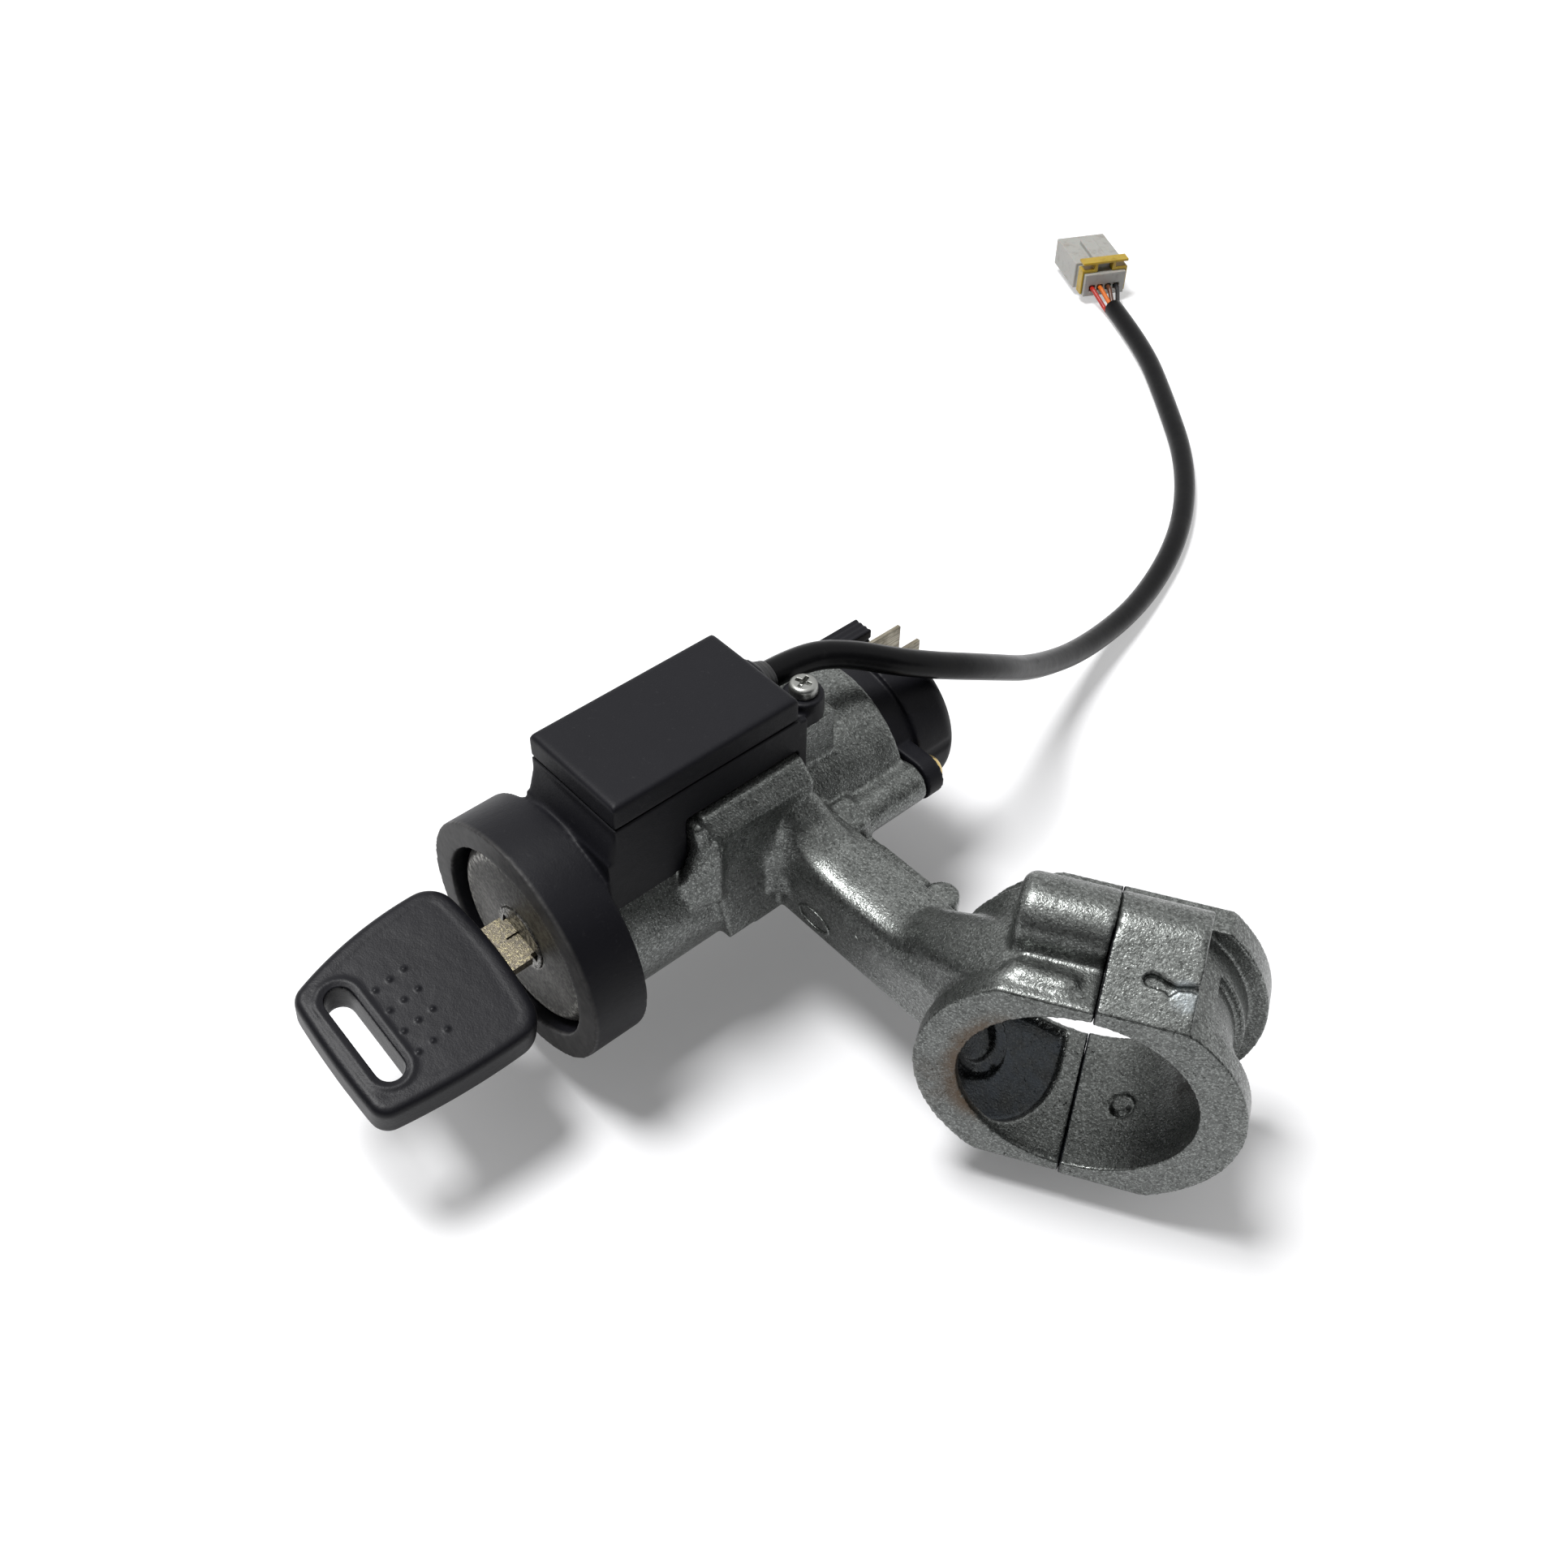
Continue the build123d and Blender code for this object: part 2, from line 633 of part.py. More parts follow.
def key_blade():
    """The cut brass blade, with a groove down each side and bitting on both edges."""
    half = blade_width / 2
    front = -11.5
    tip = blade_length
    points = [(-half - 0.9, front), (half + 0.9, front), (half + 0.9, 0.6), (half, 0.6)]
    depths = (0.6, 1.3, 0.3, 1.6, 0.9, 1.4, 0.5, 1.1)
    for y, depth in zip(wafer_places, depths):
        points += [(half, y - 1.2), (half - depth, y - 0.5), (half - depth, y + 0.5), (half, y + 1.2)]
    points += [(half, tip - 3.0), (1.2, tip), (-1.2, tip), (-half, tip - 3.0)]
    for y, depth in reversed(list(zip(wafer_places, depths[::-1]))):
        points += [(-half, y + 1.2), (depth - half, y + 0.5), (depth - half, y - 0.5), (-half, y - 1.2)]
    points += [(-half, 0.6), (-half - 0.9, 0.6)]
    face = make_face(Polyline(*points, close=True))
    blade = Pos(0, 0, -blade_thick / 2) * extrude(face, blade_thick)
    for side in (1, -1):
        z = side * blade_thick / 2
        blade -= place((-0.9, -1.0, z - 0.5), (0.9, tip + 1, z + 0.5))
    return in_key(blade)


def key_head():
    """The moulded head: four bowed sides, a raised rim and a slot for a ring."""
    far_left, near_left, near_right, far_right = (-11.6, -37.7), (-16.9, -5.2), (17.7, -6.0), (16.2, -38.0)
    sides = [
        ThreePointArc(far_left, (2.0, -38.4), far_right),
        ThreePointArc(far_right, (18.0, -20.0), near_right),
        ThreePointArc(near_right, (0, -3.9), near_left),
        ThreePointArc(near_left, (-16.0, -23.0), far_left),
    ]
    plan = make_face(Curve() + sides)
    lock_side = plan.vertices().sort_by(Axis.Y)[-2:]
    plan = fillet(lock_side, 5.5)
    plan = fillet(plan.vertices().sort_by(Axis.Y)[:2], 3.6)
    head = Pos(0, 0, -head_thick / 2) * extrude(plan, head_thick, dir=(0, 0, 1))
    rims = head.edges().group_by(Axis.Z)
    head = fillet(rims[0] + rims[-1], 1.5)
    recess = offset(plan, -2.8)
    for low in (head_thick / 2 - 0.3, -head_thick / 2 - 0.7):
        head -= Pos(0, 0, low) * extrude(recess, 1.0, dir=(0, 0, 1))
    slot = SlotOverall(20.6, 5.2)
    head -= Pos(1.4, -31.5, -6) * extrude(slot, 12)
    head -= place((-5.3, -12.0, -1.15), (5.3, 0, 1.15))
    head -= place((-7.0, -24.0, -1.9), (5.2, -17.5, 1.9))
    return in_key(head)


def transponder():
    """The glass-bodied chip sealed in the head."""
    return in_key(along_x(1.6, -6.6, 4.8, -20.8, 0))


# Rear electrical switch

blade_places = [(-5.0, 12.2), (0.5, 12.2), (-5.0, 2.6), (0.5, 2.6), (6.0, 2.6)]


def blade(x, z, grow=0.0):
    """One flat blade standing on edge, pointing back along +Y."""
    bar = place((x - 0.4 - grow, 85.5, z - 3.15 - grow), (x + 0.4 + grow, 100.0, z + 3.15 + grow))
    return bar


def switch_housing():
    """Black moulding screwed to the rear of the casting, with its two screw ears."""
    body = along_y(switch_r, 86.0, switch_rear)
    rear_rim = body.edges().filter_by(GeomType.CIRCLE).sort_by(Axis.Y)[-1]
    body = fillet(rear_rim, 3.6)
    body += along_y(switch_r - 0.9, barrel_rear + 0.1, 86.2)
    for side in (1, -1):
        x, z = side * switch_screw_x, side * switch_screw_z
        body += along_y(4.5, 81.2, 85.0, x, z)
        near, far = sorted((side * 10.0, side * switch_screw_x))
        body += place((near, 81.2, z - 4.5), (far, 85.0, z + 4.5))
        body -= along_y(3.3, 85.05, 99, x, z)
        body -= along_y(1.75, 80, 86, x, z)
    # Open bay round the blades, with a fluted wall on its left
    body -= place((-17.0, bay_floor, -1.4), (8.4, 99.0, 6.6)) & along_y(13.6, 80, 99)
    body -= place((-17.0, bay_floor, 6.5), (4.4, 99.0, 20.0))
    wall = place((-13.0, 84.0, 5.0), (-8.4, 95.6, 14.6))
    for z in (6.6, 9.2, 11.8):
        wall -= along_y(0.5, 86, 99, -8.4, z)
        wall -= along_y(0.5, 86, 99, -13.0, z)
    for x in (-12.0, -10.7, -9.4):
        wall -= along_y(0.4, 86, 99, x, 14.6)
    body += wall
    for x, z in blade_places:
        body -= blade(x, z, 0.02)
    return body - along_y(13.6, barrel_rear - 1, 85.5)


def contact_carrier():
    """The plastic rotor that the spindle drives."""
    disc = along_y(13.2, 76.2, 82.4) - place((-4.75, 75, -1.95), (4.75, 83.0, 1.95))
    for turn in (45, 165, 285):
        disc -= Rot(0, turn, 0) * along_y(2.0, 79.8, 84.0, 8.2, 0)
    return disc


def contact_springs():
    """The short coils that press the bridges back."""
    group = Part()
    for turn in (45, 165, 285):
        for step in (0, 1):
            y = 79.9 + 1.5 * step
            ring = along_y(1.8, y, y + 0.8, 8.2, 0) - along_y(1.0, y - 1, y + 2, 8.2, 0)
            group += Rot(0, turn, 0) * ring
        group += Rot(0, turn, 0) * place((6.6, 80.1, -0.3), (7.05, 82.0, 0.3))
    return group


def contact_bridges():
    """Three copper bridges that wipe the fixed contacts."""
    group = Part()
    for turn in (45, 165, 285):
        plate = place((4.8, 82.5, -2.2), (11.6, 83.3, 2.2))
        plate += along_y(1.1, 83.2, 83.9, 6.2, 0) + along_y(1.1, 83.2, 83.9, 10.2, 0)
        group += Rot(0, turn, 0) * plate
    return group


def contact_plate():
    """The fixed contact ring inside the switch."""
    plate = along_y(13.3, 84.1, 85.4) - along_y(4.0, 84, 86)
    for turn in range(0, 360, 60):
        plate -= Rot(0, turn, 0) * along_y(0.9, 84, 86, 11.9, 0)
    return plate


def switch_terminals():
    """Tinned blades standing out of the back of the switch."""
    group = Part()
    for x, z in blade_places:
        group += blade(x, z)
    return group


def switch_screws():
    """Two brass screws with domed heads."""
    group = Part()
    for side in (1, -1):
        x, z = side * switch_screw_x, side * switch_screw_z
        head = along_y(2.9, 85.1, 87.0, x, z)
        head = fillet(head.edges().filter_by(GeomType.CIRCLE).sort_by(Axis.Y)[-1], 1.2)
        screw = head + along_y(1.65, 73.0, 85.2, x, z)
        screw -= place((x - 0.4, 86.3, z - 2.2), (x + 0.4, 88, z + 2.2))
        group += screw
    return group


def build_nodes():
    """Every node by name, in the order it goes together."""
    return {
        "lock_housing": lock_housing,
        "clamp_cap": lambda: in_clamp(clamp_cap()),
        "shear_bolts": lambda: in_clamp(shear_bolts()),
        "chamber_cover": chamber_cover,
        "lock_sleeve": lock_sleeve,
        "retaining_pin": retaining_pin,
        "rotor": rotor,
        "wafers_upper": lambda: wafers(0),
        "wafers_lower": lambda: wafers(1),
        "spindle": spindle,
        "hold_back_cam": hold_back_cam,
        "return_spring": return_spring,
        "steering_bolt": steering_bolt,
        "bolt_slide": bolt_slide,
        "bolt_spring": bolt_spring,
        "aerial_case": aerial_case,
        "case_lid": case_lid,
        "case_screw": case_screw,
        "aerial_coil": aerial_coil,
        "circuit_board": circuit_board,
        "board_components": board_components,
        "cable_grommet": cable_grommet,
        "cable_sheath": lambda: tube_along(cable_route, cable_r),
        "wire_red": lambda: wire(0),
        "wire_orange": lambda: wire(1),
        "wire_brown": lambda: wire(2),
        "wire_black": lambda: wire(3),
        "connector_housing": connector_housing,
        "connector_retainer": connector_retainer,
        "connector_terminals": connector_terminals,
        "key_blade": key_blade,
        "key_head": key_head,
        "transponder": transponder,
        "switch_housing": switch_housing,
        "contact_carrier": contact_carrier,
        "contact_springs": contact_springs,
        "contact_bridges": contact_bridges,
        "contact_plate": contact_plate,
        "switch_terminals": switch_terminals,
        "switch_screws": switch_screws,
    }


os.makedirs("parts", exist_ok=True)
for name, maker in build_nodes().items():
    export_step(maker(), f"parts/{name}.step")
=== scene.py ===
import math

import bmesh
import bpy
import numpy as np
from mathutils import Matrix, Vector


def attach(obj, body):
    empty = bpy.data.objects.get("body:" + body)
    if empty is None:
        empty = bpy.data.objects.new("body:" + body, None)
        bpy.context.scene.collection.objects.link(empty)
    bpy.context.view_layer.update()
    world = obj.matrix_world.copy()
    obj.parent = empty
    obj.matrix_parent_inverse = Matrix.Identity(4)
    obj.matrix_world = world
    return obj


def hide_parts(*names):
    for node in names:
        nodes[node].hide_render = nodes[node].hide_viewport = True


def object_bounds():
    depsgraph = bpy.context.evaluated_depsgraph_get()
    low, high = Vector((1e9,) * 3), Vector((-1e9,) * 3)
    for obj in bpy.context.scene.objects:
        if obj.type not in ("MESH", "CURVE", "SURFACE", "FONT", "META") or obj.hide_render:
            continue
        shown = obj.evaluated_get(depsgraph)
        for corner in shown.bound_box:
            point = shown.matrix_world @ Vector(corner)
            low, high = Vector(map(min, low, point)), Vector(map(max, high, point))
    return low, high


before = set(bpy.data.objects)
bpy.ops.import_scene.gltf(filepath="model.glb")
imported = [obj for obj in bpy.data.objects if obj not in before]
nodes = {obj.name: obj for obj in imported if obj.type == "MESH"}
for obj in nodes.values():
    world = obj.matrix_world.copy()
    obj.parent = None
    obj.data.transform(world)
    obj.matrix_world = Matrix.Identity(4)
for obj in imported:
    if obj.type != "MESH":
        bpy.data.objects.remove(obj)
cad_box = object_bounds()
scene = bpy.context.scene
mm = 0.001

# Camera. It stands in front of the key and to the right, about 0.3 m from the lock, and
# looks down on it as a person does over a bench.
eye = Vector((0.1717, -0.0900, 0.2355))
look = Vector((-0.517, 0.466, -0.718)).normalized()
level = Vector((0.662, 0.750, 0.010)).normalized()
upward = level.cross(look).normalized()
across = look.cross(upward)
sensor_width = 36.0
focal_length_px, picture_width_px = 2061, 1932

camera_data = bpy.data.cameras.new("bench_camera")
camera_data.sensor_width = sensor_width
camera_data.lens = sensor_width * focal_length_px / picture_width_px
camera_data.clip_start = 0.01
camera = bpy.data.objects.new("bench_camera", camera_data)
scene.collection.objects.link(camera)
turn = Matrix((across, upward, -look)).transposed().to_4x4()
camera.matrix_world = Matrix.Translation(eye) @ turn
scene.camera = camera


# Aerial cable: a soft black PVC sheath, 5.5 mm thick, extruded over four wires. It leaves
# the case through a rubber grommet, hangs over the switch and lies on the bench to its plug.
class Term:
    """One socket in a finish, so that the finish's sums read as plain expressions."""

    def __init__(self, tree, socket=None):
        self.tree, self.socket = tree, socket

    def node(self, kind, sockets=(), output=0, **settings):
        """Add any node: its settings first, then the values or links of its sockets."""
        made = self.tree.nodes.new(kind)
        for name, value in settings.items():
            setattr(made, name, value)
        for name, value in dict(sockets).items():
            if isinstance(value, Term):
                self.tree.links.new(value.socket, made.inputs[name])
            else:
                made.inputs[name].default_value = value
        return Term(self.tree, made.outputs[output])

    def sum(self, operation, *values):
        return self.node("ShaderNodeMath", dict(enumerate(values)), operation=operation)

    def __add__(self, other):
        return self.sum("ADD", self, other)

    __radd__ = __add__

    def __mul__(self, other):
        return self.sum("MULTIPLY", self, other)

    __rmul__ = __mul__

    def __sub__(self, other):
        return self.sum("SUBTRACT", self, other)

    def __rsub__(self, other):
        return self.sum("SUBTRACT", other, self)

    def __abs__(self):
        return self.sum("ABSOLUTE", self)

    def axis(self, name):
        return self.node("ShaderNodeSeparateXYZ", {0: self}, output=name)

    def scaled(self, *factors):
        return self.node("ShaderNodeVectorMath", {0: self, 1: factors}, operation="MULTIPLY")

    def length(self):
        return self.node("ShaderNodeVectorMath", {0: self}, "Value", operation="LENGTH")

    def rise(self, start, end):
        """0 below start and 1 above end, smooth between them."""
        sockets = {"Value": self, "From Min": start, "From Max": end}
        return self.node("ShaderNodeMapRange", sockets, interpolation_type="SMOOTHSTEP")

    def near(self, point, radius, soft):
        """1 within a radius of a point in metres, falling to 0 over the soft width."""
        gap = self.node("ShaderNodeVectorMath", {0: self, 1: point}, "Value", operation="DISTANCE")
        return 1 - gap.rise(radius, radius + soft)

    def noise(self, size, detail=3.0, rough=0.5, warp=0.0):
        """Cloudy noise whose patches are about size metres wide."""
        sockets = {
            "Vector": self, "Scale": 1 / size, "Detail": detail, "Roughness": rough, "Distortion": warp,
        }
        return self.node("ShaderNodeTexNoise", sockets)


def mix(mask, first, second):
    """A colour that goes from the first to the second as the mask rises."""
    made = mask.tree.nodes.new("ShaderNodeMix")
    made.data_type = "RGBA"
    # The node's own places for a mask, two colours and the colour that comes out
    mask_in, first_in, second_in, colour_out = 0, 6, 7, 2
    mask.tree.links.new(mask.socket, made.inputs[mask_in])
    for place_in, colour in ((first_in, first), (second_in, second)):
        if isinstance(colour, Term):
            mask.tree.links.new(colour.socket, made.inputs[place_in])
        else:
            made.inputs[place_in].default_value = (*colour, 1.0)
    return Term(mask.tree, made.outputs[colour_out])


def bump(height, depth, under=None):
    """A normal from a height of 0 to 1 that stands for depth metres."""
    sockets = {"Height": height, "Distance": depth}
    if under is not None:
        sockets["Normal"] = under
    return height.node("ShaderNodeBump", sockets)


def new_finish(name):
    """A new material, and the place on the object, in metres, that its patterns read."""
    material = bpy.data.materials.new(name)
    material.use_nodes = True
    return material, Term(material.node_tree).node("ShaderNodeTexCoord", output="Object")


def close_finish(material, **values):
    """Set or link the shader's sockets, named with underscores for spaces."""
    shader = material.node_tree.nodes["Principled BSDF"]
    by_name = {socket.name.lower(): socket for socket in shader.inputs}
    for name, value in values.items():
        socket = by_name[name.replace("_", " ")]
        if isinstance(value, Term):
            material.node_tree.links.new(value.socket, socket)
        else:
            socket.default_value = (*value, 1.0) if isinstance(value, tuple) else value
    return material


def give_finish(piece, material, slot):
    piece.data.materials.clear()
    piece.data.materials.append(material)


def sheath_finish():
    material, place = new_finish("cable_pvc")
    wave = place.noise(0.012, 2)
    dust = place.noise(0.004, 5, 0.7).rise(0.60, 0.78)
    scuff = place.noise(0.0011, 4, 0.7).rise(0.64, 0.74)
    colour = mix(dust * 0.3, (0.004, 0.004, 0.0045), (0.030, 0.029, 0.028))
    normal = bump(place.noise(0.0016, 3), 0.00003, bump(wave, 0.0002))
    rough = 0.26 + 0.06 * wave + 0.2 * dust + 0.12 * scuff
    return close_finish(material, base_color=colour, roughness=rough, normal=normal, specular_ior_level=0.09)


cable_radius = 2.75 * mm
cable_route_mm = [
    (1.3, 55.6, 30.3),
    (1.3, 65.5, 30.3),
    (3.4, 75.2, 28.2),
    (10.0, 88.3, 21.8),
    (12.1, 109.9, 9.9),
    (5.2, 132.9, -8.7),
    (-1.1, 160.1, -22.8),
    (-7.7, 190.4, -28.9),
    (-19.1, 219.2, -29.0),
    (-37.6, 244.0, -28.9),
    (-62.3, 264.5, -28.9),
    (-83.8, 280.8, -28.7),
    (-104.6, 291.5, -28.9),
]

cable_curve = bpy.data.curves.new("cable", "CURVE")
cable_curve.dimensions = "3D"
cable_curve.resolution_u = 10
cable_curve.bevel_depth = cable_radius
cable_curve.bevel_resolution = 6
cable_curve.use_fill_caps = True
cable_spline = cable_curve.splines.new("NURBS")
cable_spline.points.add(len(cable_route_mm) - 1)
for knot, route_point in zip(cable_spline.points, cable_route_mm):
    knot.co = (*(Vector(route_point) * mm), 1.0)
cable_spline.order_u = 3
cable_spline.use_endpoint_u = True
cable = bpy.data.objects.new("cable", cable_curve)
scene.collection.objects.link(cable)
give_finish(cable, sheath_finish(), "cable_black")
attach(cable, "lock_body")
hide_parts("cable_sheath")


# Cable grommet: a moulded rubber sleeve with a collar against the case and a taper that
# lets the cable bend gently. It is pressed into the case's wall.
def rubber_finish():
    material, place = new_finish("grommet_rubber")
    dust = place.noise(0.003, 5, 0.7).rise(0.5, 0.75)
    colour = mix(dust * 0.4, (0.010, 0.010, 0.011), (0.05, 0.048, 0.045))
    normal = bump(place.noise(0.0004, 3), 0.00004)
    return close_finish(material, base_color=colour, roughness=0.5 + 0.2 * dust, normal=normal)


def turned(name, profile, steps, centre):
    """A closed ring: a profile of (radius, distance) pairs in mm, turned about a line along Y."""
    shape = bmesh.new()
    rings = []
    for index in range(steps):
        angle = 2 * math.pi * index / steps
        ring = []
        for radius, along in profile:
            spot = Vector((radius * math.cos(angle), along, radius * math.sin(angle)))
            ring.append(shape.verts.new((spot + Vector(centre)) * mm))
        rings.append(ring)
    for index, ring in enumerate(rings):
        following = rings[(index + 1) % steps]
        for here in range(len(ring)):
            after = (here + 1) % len(ring)
            shape.faces.new((ring[here], ring[after], following[after], following[here]))
    bmesh.ops.recalc_face_normals(shape, faces=shape.faces)
    for face in shape.faces:
        face.smooth = True
    mesh = bpy.data.meshes.new(name)
    shape.to_mesh(mesh)
    shape.free()
    piece = bpy.data.objects.new(name, mesh)
    scene.collection.objects.link(piece)
    return piece


grommet_profile = [
    (2.76, -1.8), (3.8, -1.8), (3.8, 0.55), (4.2, 0.7), (4.4, 0.95), (4.4, 1.5), (4.2, 1.8),
    (3.75, 1.95), (3.65, 2.2), (3.7, 2.5), (3.5, 2.75), (3.3, 2.9), (3.4, 3.2), (3.3, 3.5),
    (3.1, 3.65), (3.15, 4.0), (3.0, 4.3), (2.85, 4.4), (2.76, 4.3),
]
case_back = 54.8
exit_x, _, exit_z = cable_route_mm[0]
grommet = turned("grommet", grommet_profile, 40, (exit_x, case_back, exit_z))
give_finish(grommet, rubber_finish(), "black_rubber")
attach(grommet, "lock_body")
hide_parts("cable_grommet")


# Connector: a four-way plug moulded in natural white nylon, with a yellow wedge that locks
# the crimped terminals. Four thin PVC wires, 1.3 mm thick, run into its back.
def final_mesh(piece):
    """The piece's mesh with its modifiers worked in."""
    held = bpy.context.evaluated_depsgraph_get()
    return bpy.data.meshes.new_from_object(piece.evaluated_get(held))


def cast_on(shape, pad):
    """Add the hull of a pad's balls to a shape. Each ball is (centre in mm, radius in mm)."""
    balls = bmesh.new()
    for point, radius in pad:
        held_at = Matrix.Translation(Vector(point) * mm)
        bmesh.ops.create_icosphere(balls, subdivisions=3, radius=radius * mm, matrix=held_at)
    hull = bmesh.new()
    for corner in balls.verts:
        hull.verts.new(corner.co)
    balls.free()
    made = bmesh.ops.convex_hull(hull, input=hull.verts)
    inner = {part for part in made["geom_interior"] + made["geom_unused"]
             if isinstance(part, bmesh.types.BMVert)}
    bmesh.ops.delete(hull, geom=list(inner), context="VERTS")
    bmesh.ops.recalc_face_normals(hull, faces=hull.faces)
    skin = bpy.data.meshes.new("pad")
    hull.to_mesh(skin)
    hull.free()
    shape.from_mesh(skin)
    bpy.data.meshes.remove(skin)


def soft_copy(name, node, grain, passes=2, keep=1.0, pads=()):
    """A copy of a solid with its sharp edges rounded as a mould or die leaves them. Its surface
    is a grid of grain mm, relaxed by the passes, of which a share is kept, with the pads cast on."""
    weld_gap = 0.002 * mm
    source = nodes[node].data.copy()
    shape = bmesh.new()
    shape.from_mesh(source)
    bmesh.ops.remove_doubles(shape, verts=shape.verts, dist=weld_gap)
    for pad in pads:
        cast_on(shape, pad)
    shape.to_mesh(source)
    shape.free()
    source.materials.clear()
    piece = bpy.data.objects.new(name, source)
    scene.collection.objects.link(piece)
    remesh = piece.modifiers.new("even", "REMESH")
    remesh.mode = "VOXEL"
    remesh.voxel_size = grain * mm
    smooth = piece.modifiers.new("round", "SMOOTH")
    smooth.factor = 0.5
    smooth.iterations = passes
    if keep < 1:
        thin = piece.modifiers.new("thin", "DECIMATE")
        thin.ratio = keep
    mesh = final_mesh(piece)
    piece.modifiers.clear()
    piece.data = mesh
    mesh.polygons.foreach_set("use_smooth", [True] * len(mesh.polygons))
    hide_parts(node)
    return piece


def points_of(piece):
    """A piece's points in mm, one row each."""
    flat = np.zeros(3 * len(piece.data.vertices))
    piece.data.vertices.foreach_get("co", flat)
    return flat.reshape(-1, 3) / mm


def move_points(piece, points):
    piece.data.vertices.foreach_set("co", (points * mm).ravel())
    piece.data.update()


def round_edge(piece, start, end, near, passes):
    """Round one edge more than the rest: the surface within near mm of the line is relaxed."""
    points = points_of(piece)
    line = np.array(end, float) - np.array(start, float)
    along = np.clip((points - np.array(start, float)) @ line / (line @ line), 0, 1)
    gap = np.linalg.norm(points - np.array(start, float) - along[:, None] * line, axis=1)
    group = piece.vertex_groups.new(name="edge")
    for level, share in ((0.35, 1.0), (0.7, 0.8), (1.0, 0.6)):
        group.add(np.nonzero(gap < share * near)[0].tolist(), level, "REPLACE")
    smooth = piece.modifiers.new("round", "SMOOTH")
    smooth.factor = 0.5
    smooth.iterations = passes
    smooth.vertex_group = "edge"
    mesh = final_mesh(piece)
    piece.modifiers.clear()
    piece.vertex_groups.clear()
    piece.data = mesh


def nylon_finish(name, colour, grime):
    material, place = new_finish(name)
    dirt = place.noise(0.003, 5, 0.7).rise(0.48, 0.72)
    tone = mix(dirt * 0.45, colour, grime)
    normal = bump(place.noise(0.0003, 2), 0.00002)
    return close_finish(material, base_color=tone, roughness=0.38 + 0.2 * dirt, normal=normal,
                        subsurface_weight=0.15, subsurface_scale=0.0015)


white_nylon = nylon_finish("plug_nylon", (0.36, 0.355, 0.33), (0.17, 0.155, 0.125))
yellow_nylon = nylon_finish("wedge_nylon", (0.42, 0.28, 0.012), (0.18, 0.12, 0.012))
plug = soft_copy("plug", "connector_housing", 0.22)
give_finish(plug, white_nylon, "white_plastic")
wedge = soft_copy("wedge", "connector_retainer", 0.14)
give_finish(wedge, yellow_nylon, "yellow_plastic")
for piece in (plug, wedge):
    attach(piece, "lock_body")


def wire_finish(name, colour):
    material, place = new_finish(name)
    wear_and_light_patches = place.noise(0.002, 4, 0.6).rise(0.45, 0.75)
    tone = mix(wear_and_light_patches, colour, tuple(0.6 * c + 0.02 for c in colour))
    return close_finish(material, base_color=tone, roughness=0.34 + 0.2 * wear_and_light_patches,
                        normal=bump(place.noise(0.0005, 2), 0.00002))


wire_colours = {
    "wire_red": (0.42, 0.022, 0.012),
    "wire_orange": (0.62, 0.15, 0.02),
    "wire_brown": (0.10, 0.035, 0.015),
    "wire_black": (0.010, 0.010, 0.011),
}
for node, colour in wire_colours.items():
    material = wire_finish(node + "_pvc", colour)
    give_finish(nodes[node], material, "cable_black" if node == "wire_black" else node)
    for polygon in nodes[node].data.polygons:
        polygon.use_smooth = True


# Metal finishes shared by the small steel, brass and copper parts. Each is a plated or
# drawn metal, a little dulled, with fine wear and a film of old grease.
def small_metal(name, bright, dull, rough):
    material, place = new_finish(name)
    film = place.noise(0.004, 5, 0.65).rise(0.42, 0.68)
    fleck = place.noise(0.0006, 3, 0.7)
    tone = mix(film * 0.7, bright, dull)
    return close_finish(material, base_color=tone, metallic=0.9, roughness=rough + 0.22 * film,
                        normal=bump(fleck, 0.00003))


steel = small_metal("bright_steel", (0.52, 0.52, 0.51), (0.26, 0.25, 0.23), 0.26)
zinc_plate = small_metal("zinc_plate", (0.40, 0.41, 0.41), (0.20, 0.20, 0.19), 0.34)
spring_steel = small_metal("spring_steel", (0.28, 0.28, 0.29), (0.13, 0.12, 0.11), 0.32)
brass = small_metal("brass", (0.62, 0.47, 0.20), (0.30, 0.21, 0.09), 0.28)
copper = small_metal("copper", (0.62, 0.30, 0.18), (0.28, 0.12, 0.07), 0.3)
metal_nodes = {
    "retaining_pin": (steel, "bright_steel"),
    "steering_bolt": (steel, "bright_steel"),
    "shear_bolts": (zinc_plate, "zinc_steel"),
    "chamber_cover": (zinc_plate, "zinc_steel"),
    "bolt_slide": (zinc_plate, "zinc_steel"),
    "spindle": (zinc_plate, "zinc_steel"),
    "hold_back_cam": (zinc_plate, "zinc_steel"),
    "return_spring": (spring_steel, "spring_steel"),
    "bolt_spring": (spring_steel, "spring_steel"),
    "contact_springs": (spring_steel, "spring_steel"),
    "wafers_upper": (brass, "brass"),
    "wafers_lower": (brass, "brass"),
    "contact_bridges": (copper, "copper"),
    "aerial_coil": (copper, "copper"),
    "connector_terminals": (brass, "tinned_brass"),
}
for node, (material, slot) in metal_nodes.items():
    give_finish(nodes[node], material, slot)


# Inside plastics and the circuit board: natural moulded nylon for the contact carrier,
# a fibre plate for the contacts, green epoxy glass for the board and black components.
def plain_plastic(name, colour, shade, rough):
    material, place = new_finish(name)
    cloud = place.noise(0.005, 4)
    return close_finish(material, base_color=mix(cloud, colour, shade), roughness=rough,
                        normal=bump(place.noise(0.0004, 3), 0.00003))


